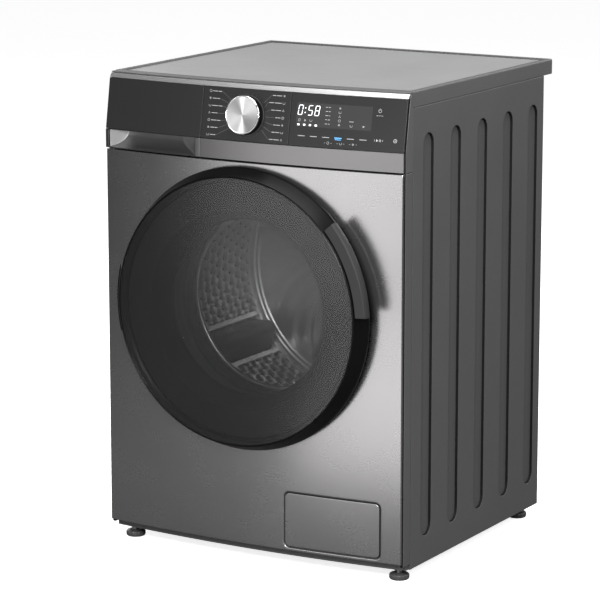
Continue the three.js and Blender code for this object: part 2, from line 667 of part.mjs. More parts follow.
/** The motor hung under the tub, its rear shield turned to the pulley. */
function motorBody() {
  const { x, z, radius } = MOTOR;
  return turnedY([
    [0, 300], [18, 300], [22, 312], [radius - 6, 316], [radius, 324], [radius, 440], [radius - 6, 452],
    [22, 458], [20, 472], [6.5, 472], [6.5, 460], [0, 460],
  ], x, z, 20);
}

const motorPulley = () => turnedY([
  [0, 461], [5, 461], [5, 480], [MOTOR.pulley, 481], [MOTOR.pulley, 499], [0, 499],
], MOTOR.x, MOTOR.z, 18);

/** The ribbed belt, running in straight tangents between the two pulleys. */
function driveBelt() {
  const outer = beltOutline(PULLEY.radius + 4.6, MOTOR.pulley + 4.6);
  const inner = beltOutline(PULLEY.radius + 0.6, MOTOR.pulley + 0.6);
  return prismY(outer, 484, 496).subtract(prismY(inner, 480, 500));
}

/** Two arcs joined by their outer tangents: the large one on top, the small one below. */
function beltOutline(large, small) {
  const lean = Math.asin((large - small) / (AXIS_Z - MOTOR.z));
  const points = [];
  const arc = (radius, z, from, to, steps) => {
    for (let i = 0; i <= steps; i++) {
      const angle = from + ((to - from) * i) / steps;
      points.push([radius * Math.cos(angle), z + radius * Math.sin(angle)]);
    }
  };
  arc(large, AXIS_Z, -lean, Math.PI + lean, 24);
  arc(small, MOTOR.z, Math.PI + lean, 2 * Math.PI - lean, 6);
  return shapeOf(points);
}

/** The bent heater rod, lying in the gap under the drum. */
function heater() {
  const z = AXIS_Z - DRUM_RADIUS - 6;
  return tubeAlong([
    [-18, 408, z], [-18, 320, z], [-18, 200, z], [-16, 110, z], [0, 96, z], [16, 110, z], [18, 200, z],
    [18, 320, z], [18, 408, z],
  ], 3.6, 6, 22);
}

// ---------------------------------------------------------- suspension, pump, valve

const damperCylinder = (side) => turnedZ([
  [0, 26], [20, 26], [20, 34], [14, 36], [14, 165], [8.5, 165], [8.5, 60], [0, 60],
], side * DAMPER.x, DAMPER.y, 14);

const damperRod = (side) => turnedZ([
  [0, 75], [6, 75], [6, 232], [7, 234], [7, 245], [0, 245],
], side * DAMPER.x, DAMPER.y, 12);

/** A coil spring with a straight tail at each end. */
function spring(side) {
  const x = side * SPRING.x;
  const turns = 6;
  const z0 = 634;
  const z1 = 782;
  const points = [[x, SPRING.y, 626]];
  for (let i = 0; i <= turns * 5; i++) {
    const angle = (2 * Math.PI * i) / 5;
    const z = z0 + ((z1 - z0) * i) / (turns * 5);
    points.push([x + 11 * Math.cos(angle), SPRING.y + 11 * Math.sin(angle), z]);
  }
  points.push([x, SPRING.y, 789.5]);
  return tubeAlong(points, 2, 4, turns * 6);
}

/** The drain pump: filter chamber in front, motor behind. */
function drainPump() {
  const { x, z } = PUMP;
  const body = turnedY([
    [27, 8], [42, 8], [42, 12], [34, 13], [34, 88], [29, 90], [29, 150], [0, 150], [0, 79], [27, 79],
  ], x, z, 18);
  const outlet = discZ(15, z + 30, z + 42, x, 45, 14);
  const stand = box(x - 20, x + 20, 30, 70, 26, z - 29);
  return union(body, outlet, stand)
    .subtract(discY(27, 7, 79, x, z, 18))
    .subtract(discZ(12, z, z + 60, x, 45, 14));
}

/** The screw-in filter, with its grip bar. */
function filterPlug() {
  const { x, z } = PUMP;
  const plug = turnedY([
    [0, 0], [30, 0], [30, 7.6], [26, 7.6], [26, 20], [24, 22], [24, 58], [0, 58],
  ], x, z, 18);
  const grip = box(x - 25, x + 25, -7, 1, z - 4, z + 4);
  return plug.add(grip);
}

function pumpImpeller() {
  const { x, z } = PUMP;
  let wheel = discY(7, 61, 78, x, z, 16);
  for (let i = 0; i < 2; i++) {
    const blade = new THREE.BoxGeometry(42, 12, 3).translate(0, 68, 0);
    wheel = wheel.add(solid(blade.rotateY((Math.PI / 2) * i).translate(x, 0, z)));
  }
  return wheel;
}

/** The bellows hose from the tub's sump down to the pump. */
const sumpHose = () => tubeAlong([
  [72, 130, 207.5], [73, 128, 196], [88, 112, 178], [130, 78, 172], [160, 52, 160], [PUMP.x, 45, 143],
  [PUMP.x, 45, PUMP.z + 42.5],
], 10, 8, 14);

/** The water inlet valve, its threaded stub reaching out through the rear panel. */
function inletValve() {
  const stub = turnedY([[0, 500], [18, 500], [18, 530], [13.2, 532], [13.2, 556], [9, 556], [9, 520],
    [0, 520]], -225, 772, 16);
  return stub.add(box(-245, -205, 462, 502, 752, 792));
}

const cordGland = () => turnedY([
  [4.2, 526], [8.6, 526], [8.6, CABINET_BACK + 0.3], [15, CABINET_BACK + 0.3], [13, 546], [8, 560],
  [4.2, 560],
], 225, 772, 14);

/** The service flap in the front panel's lower right corner, curved like the panel. */
function serviceFlap() {
  const plate = bowed([[0, 40], [0, 150], [2.5, 150], [2.5, 40]], FLAP.x0, FLAP.x1);
  const outline = prismY(roundedShape(FLAP.x0, FLAP.x1, FLAP.z0, FLAP.z1, 8.5), -60, 60, 4);
  return plate.intersect(outline);
}

// -------------------------------------------------------------------------- assembly

function buildCabinet(machine) {
  part(machine, 'left_side_panel', sidePanel(-1), FINISH.sideSheet());
  part(machine, 'right_side_panel', sidePanel(1), FINISH.sideSheet());
  part(machine, 'rear_panel', rearPanel(), FINISH.sideSheet());
  part(machine, 'rear_service_cover', rearCover(), FINISH.sideSheet());
  part(machine, 'base_tray', baseTray(), FINISH.worktop());
  part(machine, 'front_panel', frontPanel(), FINISH.frontSteel());
  part(machine, 'worktop_frame', worktopFrame(), FINISH.worktop());
  part(machine, 'worktop_inlay', inlayBlock(0, 840, 847), FINISH.inlay());
  part(machine, 'control_fascia', controlFascia(), FINISH.gloss());
  part(machine, 'display_cover', displayCover(), FINISH.gloss());
  part(machine, 'trim_band', trimBand(), FINISH.frontSteel());
  part(machine, 'silver_trim_strip', silverStrip(), FINISH.silver());
  part(machine, 'dispenser_housing', dispenserHousing(), FINISH.whitePlastic());
  part(machine, 'door_lock', doorLock(), FINISH.black());
  part(machine, 'hinge_bracket', hingeBracket(), FINISH.steel());
  part(machine, 'inlet_valve', inletValve(), FINISH.whitePlastic());
  part(machine, 'cord_gland', cordGland(), FINISH.black());
  part(machine, 'drain_pump', drainPump(), FINISH.greyPlastic());
  part(machine, 'sump_hose', sumpHose(), FINISH.rubber());
  part(machine, 'door_gasket', doorGasket(), FINISH.rubber());
}

function buildSuspension(machine) {
  for (const [name, side] of [['left', -1], ['right', 1]]) {
    part(machine, `damper_cylinder_${name}`, damperCylinder(side), FINISH.black());
    part(machine, `damper_rod_${name}`, damperRod(side), FINISH.steel());
    part(machine, `suspension_spring_${name}`, spring(side), FINISH.steel());
  }
  const names = ['front_left', 'front_right', 'rear_left', 'rear_right'];
  footPlaces().forEach(([x, y], i) => part(machine, `foot_${names[i]}`, foot(x, y), FINISH.black()));
}

function buildTub(machine) {
  part(machine, 'tub_front', tubFront(), FINISH.greyPlastic());
  part(machine, 'tub_rear', tubRear(), FINISH.greyPlastic());
  part(machine, 'counterweight', counterweight(), FINISH.iron());
  part(machine, 'front_bearing', bearing(31, 15.3, 419, 435.5), FINISH.steel());
  part(machine, 'rear_bearing', bearing(26, 12.8, 456, 471), FINISH.steel());
  part(machine, 'motor_body', motorBody(), FINISH.steel());
  part(machine, 'motor_pulley', motorPulley(), FINISH.steel());
  part(machine, 'drive_belt', driveBelt(), FINISH.black());
  part(machine, 'heater', heater(), FINISH.steel());
}

function buildDrum(machine) {
  part(machine, 'drum_shell', drumShell(), FINISH.stainless());
  part(machine, 'drum_back', drumBack(), FINISH.stainless());
  [95, 215, 335].forEach((angle, i) => {
    part(machine, `lifter_${i + 1}`, lifter(angle), FINISH.greyPlastic());
  });
  part(machine, 'drum_spider', spider(), FINISH.steel());
  part(machine, 'drum_shaft', drumShaft(), FINISH.steel());
  part(machine, 'drum_pulley', drumPulley(), FINISH.steel());
}

function buildDoor(machine) {
  part(machine, 'door_ring', doorRing(), FINISH.black());
  part(machine, 'door_glass', doorGlass(), FINISH.glass());
  part(machine, 'door_inner_ring', doorInnerRing(), FINISH.black());
  part(machine, 'door_bowl', doorBowl(), FINISH.clear());
  part(machine, 'door_handle', doorHandle(), FINISH.grip());
  part(machine, 'hinge_arm', hingeArm(), FINISH.steel());
  part(machine, 'latch_hook', latchHook(), FINISH.steel());
}

function buildControls(machine) {
  part(machine, 'drawer_front', drawerFront(), FINISH.gloss());
  part(machine, 'drawer_tray', drawerTray(), FINISH.whitePlastic());
  part(machine, 'programme_knob', knob(), FINISH.silver());
  part(machine, 'service_flap', serviceFlap(), FINISH.frontSteel());
  part(machine, 'filter_plug', filterPlug(), FINISH.black());
  part(machine, 'pump_impeller', pumpImpeller(), FINISH.black());
}

const washingMachine = new THREE.Group();
const machine = new THREE.Group();
machine.position.y = -MID_Y;
washingMachine.add(machine);
buildCabinet(machine);
buildSuspension(machine);
buildTub(machine);
buildDrum(machine);
buildDoor(machine);
buildControls(machine);

export default washingMachine;
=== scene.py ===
"""Looks of a front load washing machine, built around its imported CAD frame.

Shapes are worked out in millimetres in the machine's own coordinates: x to the right of someone
who faces the front, y from the plane through the front panel's side edges towards the back, and
z up from the floor. Surface.build turns them into metres in the frame.
"""

import logging
import math
from collections.abc import Callable
from dataclasses import dataclass
from enum import Enum

import bmesh
import bpy
import numpy as np
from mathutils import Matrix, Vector


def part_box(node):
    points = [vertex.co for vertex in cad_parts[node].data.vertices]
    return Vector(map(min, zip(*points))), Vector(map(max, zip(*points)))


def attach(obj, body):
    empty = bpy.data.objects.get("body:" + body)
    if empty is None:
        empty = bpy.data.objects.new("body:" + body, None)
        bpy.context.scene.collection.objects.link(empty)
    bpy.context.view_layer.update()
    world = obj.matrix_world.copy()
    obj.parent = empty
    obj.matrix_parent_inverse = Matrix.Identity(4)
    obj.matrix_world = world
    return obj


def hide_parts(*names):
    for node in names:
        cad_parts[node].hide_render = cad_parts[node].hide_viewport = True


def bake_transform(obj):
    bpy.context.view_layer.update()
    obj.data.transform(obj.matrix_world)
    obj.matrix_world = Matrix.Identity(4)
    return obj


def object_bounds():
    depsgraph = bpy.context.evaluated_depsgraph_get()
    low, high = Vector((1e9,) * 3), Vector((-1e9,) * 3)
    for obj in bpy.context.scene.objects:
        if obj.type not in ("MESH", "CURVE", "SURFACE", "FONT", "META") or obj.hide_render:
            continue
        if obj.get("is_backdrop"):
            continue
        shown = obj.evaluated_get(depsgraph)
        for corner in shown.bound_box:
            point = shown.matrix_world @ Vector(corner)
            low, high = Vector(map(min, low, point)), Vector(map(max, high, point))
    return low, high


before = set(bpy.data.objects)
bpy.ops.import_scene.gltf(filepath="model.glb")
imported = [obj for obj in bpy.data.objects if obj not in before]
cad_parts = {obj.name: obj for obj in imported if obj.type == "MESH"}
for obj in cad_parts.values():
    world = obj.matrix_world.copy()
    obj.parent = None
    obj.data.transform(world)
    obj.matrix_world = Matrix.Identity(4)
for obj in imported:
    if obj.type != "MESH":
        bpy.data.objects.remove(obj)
CAD_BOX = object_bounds()

log = logging.getLogger("washing_machine")
logging.basicConfig(level=logging.INFO, format="%(message)s")

Array = np.ndarray
Object = bpy.types.Object
Material = bpy.types.Material
Socket = bpy.types.NodeSocket

MM = 0.001
TAU = 2 * math.pi
BOW = 18.0
FRONT_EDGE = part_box("front_panel")[0].y / MM + BOW
AXIS_Z = sum(corner.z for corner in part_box("drum_shell")) / 2 / MM
HALF_WIDTH = CAD_BOX[1].x / MM
HEIGHT = CAD_BOX[1].z / MM
BOW_HALF = 298.0
BOW_RADIUS = (BOW_HALF**2 + BOW**2) / (2 * BOW)


# ------------ curves


def bow(x: Array | float) -> Array | float:
    """How far the front stands forward of its side edges: an arc of BOW_RADIUS in plan.

    Args:
        x: distance from the middle, in millimetres.

    Returns:
        The arc's y, from -BOW in the middle to 0 at the edges.
    """
    return BOW_RADIUS - BOW - np.sqrt(BOW_RADIUS**2 - np.asarray(x, float) ** 2)


def smooth(value: Array | float, low: float, high: float) -> Array:
    """The cubic step 3t^2 - 2t^3, from 0 at low to 1 at high.

    Args:
        value: where to take the step.
        low: where it leaves 0.
        high: where it reaches 1.

    Returns:
        The step's values.
    """
    t = np.clip((np.asarray(value, float) - low) / (high - low), 0, 1)
    return t * t * (3 - 2 * t)


def fillet(points: list[tuple[float, float]], radius: float, steps: int = 4,
           closed: bool = True) -> Array:
    """Rounds a polygon's corners: each becomes a quadratic curve between points one radius away.

    Args:
        points: the corners.
        radius: distance from a corner to where its curve starts, cut back on short edges.
        steps: segments in each curve.
        closed: whether the last corner joins the first.

    Returns:
        The rounded outline, an array of rows of two.
    """
    corners = np.asarray(points, float)
    before, after = np.roll(corners, 1, 0), np.roll(corners, -1, 0)
    to_before, to_after = before - corners, after - corners
    lengths = [np.linalg.norm(v, axis=1, keepdims=True) for v in (to_before, to_after)]
    reach = np.minimum(radius, 0.45 * np.minimum(*lengths))
    start, end = (corners + v / n * reach for v, n in zip((to_before, to_after), lengths))
    t = np.linspace(0, 1, steps + 1)[None, :, None]
    curves = (1 - t) ** 2 * start[:, None] + 2 * t * (1 - t) * corners[:, None] + t**2 * end[:, None]
    if closed:
        return curves.reshape(-1, 2)
    return np.concatenate([corners[:1], curves[1:-1].reshape(-1, 2), corners[-1:]])


def arc(centre: tuple[float, float], radius: float, start: float, end: float, steps: int) -> Array:
    """Points on a circle, from one angle in degrees to another."""
    angles = np.radians(np.linspace(start, end, steps + 1))
    return np.stack([centre[0] + radius * np.cos(angles), centre[1] + radius * np.sin(angles)], 1)


def rounded_loop(x0: float, x1: float, z0: float, z1: float, radius: float, steps: int = 8) -> Array:
    """A rectangle with round corners, counterclockwise from its lower right.

    Args:
        x0: left side.
        x1: right side.
        z0: bottom.
        z1: top.
        radius: corner radius.
        steps: segments in each corner.

    Returns:
        The outline, an array of rows of two.
    """
    corners = [(x1 - radius, z0 + radius, -90), (x1 - radius, z1 - radius, 0),
               (x0 + radius, z1 - radius, 90), (x0 + radius, z0 + radius, 180)]
    return np.concatenate([arc((x, z), radius, a, a + 90, steps) for x, z, a in corners])


def resample(loop: Array, count: int) -> Array:
    """Points evenly spaced along a closed outline, by their distance along it.

    Args:
        loop: the outline's corners.
        count: how many points to place.

    Returns:
        The spaced points.
    """
    closed = np.concatenate([loop, loop[:1]])
    steps = np.linalg.norm(np.diff(closed, axis=0), axis=1)
    along = np.concatenate([[0], np.cumsum(steps)])
    at = np.linspace(0, along[-1], count, endpoint=False)
    return np.stack([np.interp(at, along, closed[:, k]) for k in range(loop.shape[1])], 1)


# ------------ meshes


class Surface:
    """Grids and caps, in millimetres, gathered into one mesh."""

    def __init__(self) -> None:
        """Starts with nothing in it."""
        self.points: list[Array] = []
        self.uvs: list[Array] = []
        self.faces: list[Array] = []
        self.slots: list[Array] = []
        self.count = 0

    def _add(self, points: Array, faces: Array, slot: int, uv: Array | None) -> None:
        """Adds points and the faces between them, each face four numbers."""
        self.points.append(points.reshape(-1, 3))
        self.uvs.append(np.zeros((len(self.points[-1]), 2)) if uv is None else uv.reshape(-1, 2))
        self.faces.append(faces + self.count)
        self.slots.append(np.full(len(faces), slot))
        self.count += len(self.points[-1])

    def grid(self, points: Array, wrap_u: bool = False, wrap_v: bool = False,
             slot: int = 0, uv: Array | None = None) -> "Surface":
        """Adds a grid of points, with a quad between each four neighbours.

        Args:
            points: an array of rows, columns and three coordinates.
            wrap_u: whether the last row joins the first.
            wrap_v: whether the last column joins the first.
            slot: which of the piece's materials it takes.
            uv: each point's pattern coordinates.

        Returns:
            This surface.
        """
        rows, columns = points.shape[:2]
        index = np.arange(rows * columns).reshape(rows, columns)
        if wrap_u:
            index = np.concatenate([index, index[:1]], 0)
        if wrap_v:
            index = np.concatenate([index, index[:, :1]], 1)
        quads = np.stack([index[:-1, :-1], index[1:, :-1], index[1:, 1:], index[:-1, 1:]], -1)
        self._add(points, quads.reshape(-1, 4), slot, uv)
        return self

    def cap(self, ring: Array, slot: int = 0) -> "Surface":
        """Closes a ring of points with a fan about its middle."""
        count = len(ring)
        points = np.concatenate([ring, ring.mean(0, keepdims=True)])
        index = np.arange(count)
        middle = np.full(count, count)
        faces = np.stack([index, np.roll(index, -1), middle, middle], 1)
        self._add(points, faces, slot, None)
        return self

    def solid(self, points: Array, slot: int = 0) -> "Surface":
        """Adds a grid whose columns close on themselves, with its first and last rows capped."""
        self.grid(points, wrap_v=True, slot=slot)
        self.cap(points[0], slot)
        return self.cap(points[-1], slot)

    def _welded(self) -> tuple[Array, Array, Array]:
        """Merges points that meet, and drops faces that have no area.

        Returns:
            The merged points, each old point's new number, and the faces that are kept.
        """
        points = np.concatenate(self.points)
        keys = np.round(points / 2e-4).astype(np.int64)
        _, first, new = np.unique(keys, axis=0, return_index=True, return_inverse=True)
        new = new.reshape(-1)
        faces = new[np.concatenate(self.faces)]
        distinct = 4 - (np.sort(faces, 1)[:, 1:] == np.sort(faces, 1)[:, :-1]).sum(1)
        return points[first], new, distinct >= 3

    def mesh(self, name: str) -> bpy.types.Mesh:
        """The Blender mesh, in metres in the frame, with its pattern coordinates."""
        points, new, kept = self._welded()
        raw = np.concatenate(self.faces)[kept]
        slots = np.concatenate(self.slots)[kept]
        corners = new[raw]
        fresh = corners != np.roll(corners, 1, axis=1)
        totals = fresh.sum(1)
        mesh = bpy.data.meshes.new(name)
        mesh.vertices.add(len(points))
        placed = points * MM + np.array([0, FRONT_EDGE * MM, 0])
        mesh.vertices.foreach_set("co", placed.astype(np.float32).ravel())
        mesh.loops.add(int(totals.sum()))
        mesh.loops.foreach_set("vertex_index", corners[fresh].astype(np.int32))
        mesh.polygons.add(len(totals))
        starts = np.concatenate([[0], np.cumsum(totals)[:-1]])
        mesh.polygons.foreach_set("loop_start", starts.astype(np.int32))
        mesh.polygons.foreach_set("material_index", slots.astype(np.int32))
        mesh.polygons.foreach_set("use_smooth", np.ones(len(totals), bool))
        layer = mesh.uv_layers.new(name="pattern")
        layer.data.foreach_set("uv", np.concatenate(self.uvs)[raw[fresh]].astype(np.float32).ravel())
        mesh.update(calc_edges=True)
        mesh.validate()
        return mesh

    def build(self, name: str, body: str, looks: list["Look"], replaces: tuple[str, ...] = (),
              sharp: float = 38.0, closed: bool = True) -> Object:
        """Makes the piece and hands it to a body.

        Args:
            name: the piece's name.
            body: the CAD body it moves with, or nothing to leave it with no body, as for a piece between two.
            looks: its finishes, the first of them its main one.
            replaces: CAD nodes that it stands for.
            sharp: the angle in degrees past which an edge is shaded sharp.
            closed: whether its faces are turned to point outwards.

        Returns:
            The piece.
        """
        mesh = self.mesh(name)
        if closed:
            work = bmesh.new()
            work.from_mesh(mesh)
            bmesh.ops.recalc_face_normals(work, faces=work.faces)
            work.to_mesh(mesh)
            work.free()
        mesh.set_sharp_from_angle(angle=math.radians(sharp))
        piece = bpy.data.objects.new(name, mesh)
        bpy.context.scene.collection.objects.link(piece)
        for look in looks:
            mesh.materials.append(look.value.material())
        shading = piece.modifiers.new("even shading", "WEIGHTED_NORMAL")
        shading.keep_sharp = True
        if body:
            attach(piece, body)
        if replaces:
            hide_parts(*replaces)
        log.info("%s: %d faces on %s", name, len(mesh.polygons), body or "two bodies")
        return piece


def lathe(profile: Array, x: float, z: float, segments: int = 128) -> Array:
    """A profile turned about a Y axis: each point is (x + r cos a, y, z + r sin a).

    Args:
        profile: rows of radius and y.
        x: the axis's x.
        z: the axis's z.
        segments: steps round the axis.

    Returns:
        A grid with a row for each angle and a column for each profile point.
    """
    angle = np.linspace(0, TAU, segments, endpoint=False)[:, None]
    radius, y = profile[None, :, 0], profile[None, :, 1]
    return np.stack([x + radius * np.cos(angle), y + 0 * angle, z + radius * np.sin(angle)], -1)


def lathe_up(profile: Array, x: float, y: float, segments: int = 48) -> Array:
    """A profile of radius and z turned about an upright axis through x and y."""
    turned = lathe(profile, x, y, segments)
    return turned[..., [0, 2, 1]]


def along_x(section: Array, xs: Array) -> Array:
    """A section of y and z carried along x, each slice moved by the front's bow.

    Args:
        section: rows of y and z.
        xs: where the slices stand.

    Returns:
        A grid with a row for each slice.
    """
    y = section[None, :, 0] + bow(xs)[:, None]
    x, z = np.broadcast_arrays(xs[:, None], section[None, :, 1])
    return np.stack([x, y, z], -1)


def prism(loop: Array, levels: Array, axis: int) -> Array:
    """An outline carried through levels along one axis, shrunk at each by a given inset.

    Args:
        loop: the outline, rows of two, in the plane across the axis.
        levels: rows of height along the axis and inset.
        axis: 0, 1 or 2 for x, y or z.

    Returns:
        A grid with a row for each level.
    """
    middle = (loop.max(0) + loop.min(0)) / 2
    half = (loop.max(0) - loop.min(0)) / 2
    scale = (half[None, :] - levels[:, 1:]) / half[None, :]
    flat = middle + (loop[None] - middle) * scale[:, None, :]
    height = np.broadcast_to(levels[:, :1, None], (*flat.shape[:2], 1))
    order = {0: [2, 0, 1], 1: [0, 2, 1], 2: [0, 1, 2]}[axis]
    return np.concatenate([flat, height], -1)[..., order]


def soft_levels(low: float, high: float, edge: float, steps: int = 3) -> Array:
    """Heights and insets that round a prism's two ends by quarter circles.

    Args:
        low: the prism's start.
        high: its end.
        edge: radius of the rounding.
        steps: segments in each quarter.

    Returns:
        Rows of height and inset.
    """
    angle = np.linspace(0, math.pi / 2, steps + 1)
    rise, inset = edge * (1 - np.cos(angle)), edge * (1 - np.sin(angle))
    bottom = np.stack([low + rise, inset], 1)
    top = np.stack([high - rise[::-1], inset[::-1]], 1)
    return np.concatenate([bottom, top])


def block(x: tuple[float, float], y: tuple[float, float], z: tuple[float, float], edge: float = 0.8,
          axis: int = 1) -> Array:
    """A box with round edges, as a grid for Surface.solid.

    Args:
        x: its span along x.
        y: its span along y.
        z: its span along z.
        edge: radius of its edges.
        axis: the axis along which it is carried.

    Returns:
        The grid.
    """
    spans = [x, y, z]
    low, high = spans.pop(axis)
    (a0, a1), (b0, b1) = spans
    loop = rounded_loop(a0, a1, b0, b1, min(edge, 0.49 * min(a1 - a0, b1 - b0)), 3)
    return prism(loop, soft_levels(low, high, edge), axis)


# ------------ finishes


class Brush(Enum):
    """Which way a metal's fine lines run, as how often they change along x, y and z per metre."""

    NONE = (0.0, 0.0, 0.0)
    ALONG_X = (6.0, 900.0, 900.0)


class Group:
    """A shader node group being built: its tree, and its input and output nodes."""

    def __init__(self, name: str, inputs: dict[str, float], outputs: tuple[str, ...]) -> None:
        """Makes the tree and its sockets.

        Args:
            name: the group's name.
            inputs: each number that it takes, with its usual value.
            outputs: each number that it gives.
        """
        self.tree = bpy.data.node_groups.new(name, "ShaderNodeTree")
        for label, value in inputs.items():
            socket = self.tree.interface.new_socket(label, in_out="INPUT", socket_type="NodeSocketFloat")
            socket.default_value = value
        for label in outputs:
            self.tree.interface.new_socket(label, in_out="OUTPUT", socket_type="NodeSocketFloat")
        self.entry = self.tree.nodes.new("NodeGroupInput")
        self.exit = self.tree.nodes.new("NodeGroupOutput")

    def node(self, kind: str, settings: dict[str, object] | None = None,
             **inputs: object) -> bpy.types.Node:
        """Adds a node to the tree, as add_node does."""
        return add_node(self.tree, kind, settings, **inputs)


def add_node(tree: bpy.types.NodeTree, kind: str, settings: dict[str, object] | None = None,
             **inputs: object) -> bpy.types.Node:
    """Adds a node, sets its properties, and sets or links its sockets.

    Args:
        tree: where to add it.
        kind: the node's type, without the ShaderNode prefix.
        settings: its properties.
        inputs: its sockets by name, with underscores for spaces, or as in0, in1 and so on, each a
            value or an output.

    Returns:
        The node.
    """
    node = tree.nodes.new("ShaderNode" + kind)
    for label, value in (settings or {}).items():
        setattr(node, label, value)
    for label, value in inputs.items():
        numbered = label[:2] == "in" and label[2:].isdigit()
        socket = node.inputs[int(label[2:]) if numbered else label.replace("_", " ")]
        if isinstance(value, bpy.types.NodeSocket):
            tree.links.new(value, socket)
        else:
            socket.default_value = value
    return node


def math_node(tree: bpy.types.NodeTree, operation: str, *values: object, clamp: bool = False) -> Socket:
    """Adds a Math node and returns its output."""
    inputs = {f"in{i}": value for i, value in enumerate(values)}
    node = add_node(tree, "Math", {"operation": operation, "use_clamp": clamp}, **inputs)
    return node.outputs[0]


def grain_group() -> bpy.types.NodeTree:
    """Fine texture of a moulded or painted skin: two noises, one three times as fine."""
    group = Group("fine_grain", {"Scale": 900.0}, ("Height",))
    place_ = group.node("TexCoord").outputs["Object"]
    scale = group.entry.outputs["Scale"]
    coarse = group.node("TexNoise", Vector=place_, Scale=scale, Detail=2.0)
    finer = math_node(group.tree, "MULTIPLY", scale, 3.1)
    fine = group.node("TexNoise", Vector=place_, Scale=finer, Detail=1.0)
    total = math_node(group.tree, "ADD", coarse.outputs[0], fine.outputs[0])
    height = math_node(group.tree, "MULTIPLY", total, 0.5)
    group.tree.links.new(height, group.exit.inputs["Height"])
    return group.tree


def brush_group() -> bpy.types.NodeTree:
    """Brushed lines: noise squeezed by how often it changes along x, y and z."""
    rates = {"Along X": 6.0, "Along Y": 900.0, "Along Z": 900.0}
    group = Group("brushed_lines", rates, ("Line",))
    rate = group.node("CombineXYZ", X=group.entry.outputs[0], Y=group.entry.outputs[1],
                      Z=group.entry.outputs[2])
    place_ = group.node("TexCoord").outputs["Object"]
    squeezed = group.node("VectorMath", {"operation": "MULTIPLY"}, in0=place_, in1=rate.outputs[0])
    noise = group.node("TexNoise", Vector=squeezed.outputs[0], Scale=1.0, Detail=3.0)
    group.tree.links.new(noise.outputs[0], group.exit.inputs["Line"])
    return group.tree


def wear_group() -> bpy.types.NodeTree:
    """Edge wear: convex edges by pointiness, broken up by noise."""
    group = Group("edge_wear", {"Amount": 0.3}, ("Mask",))
    point = group.node("NewGeometry").outputs["Pointiness"]
    edge = group.node("MapRange", Value=point, From_Min=0.51, From_Max=0.6)
    place_ = group.node("TexCoord").outputs["Object"]
    noise = group.node("TexNoise", Vector=place_, Scale=60.0, Detail=4.0)
    broken = math_node(group.tree, "MULTIPLY", edge.outputs[0], noise.outputs[0])
    mask = math_node(group.tree, "MULTIPLY", broken, group.entry.outputs[0], clamp=True)
    group.tree.links.new(mask, group.exit.inputs["Mask"])
    return group.tree


def handling_group() -> bpy.types.NodeTree:
    """Slow change over a surface, as from handling, cleaning and a little dust."""
    group = Group("handling", {"Scale": 7.0}, ("Cloud",))
    place_ = group.node("TexCoord").outputs["Object"]
    scale = group.entry.outputs[0]
    noise = group.node("TexNoise", Vector=place_, Scale=scale, Detail=5.0, Roughness=0.6)
    cloud = group.node("MapRange", Value=noise.outputs[0], From_Min=0.3, From_Max=0.7)
    group.tree.links.new(cloud.outputs[0], group.exit.inputs["Cloud"])
    return group.tree


GROUPS = {tree.name: tree for tree in (grain_group(), brush_group(), wear_group(), handling_group())}


class Shader:
    """A material being built: its tree, its Principled shader and what feeds it."""

    def __init__(self, name: str) -> None:
        """Makes an empty material with its Principled shader."""
        self.material = bpy.data.materials.new(name)
        self.material.use_nodes = True
        self.tree = self.material.node_tree
        self.principled = next(n for n in self.tree.nodes if n.type == "BSDF_PRINCIPLED")

    def node(self, kind: str, settings: dict[str, object] | None = None,
             **inputs: object) -> bpy.types.Node:
        """Adds a node to the material, as add_node does."""
        return add_node(self.tree, kind, settings, **inputs)

    def math(self, operation: str, *values: object, clamp: bool = False) -> Socket:
        """Adds a Math node and returns its output."""
        return math_node(self.tree, operation, *values, clamp=clamp)

    def group(self, name: str, **inputs: float) -> bpy.types.Node:
        """Places a shared group with its own values."""
        return self.node("Group", {"node_tree": GROUPS[name]}, **inputs)

    def mix(self, share: object, first: object, second: object) -> Socket:
        """Mixes two colours and returns the result."""
        node = self.node("Mix", {"data_type": "RGBA"}, in0=share, in6=first, in7=second)
        return node.outputs[2]

    def spread(self, value: Socket, low: float, high: float) -> Socket:
        """Maps a number from 0..1 to low..high."""
        return self.node("MapRange", Value=value, To_Min=low, To_Max=high).outputs[0]

    def feed(self, socket: str, value: object) -> None:
        """Links or sets one of the Principled shader's sockets."""
        if isinstance(value, bpy.types.NodeSocket):
            self.tree.links.new(value, self.principled.inputs[socket])
        else:
            self.principled.inputs[socket].default_value = value


def tint(color: tuple[float, float, float], share: float) -> tuple[float, float, float, float]:
    """A colour made lighter or darker by a share, as a socket takes it."""
    return (*[min(1.0, c * share) for c in color], 1.0)


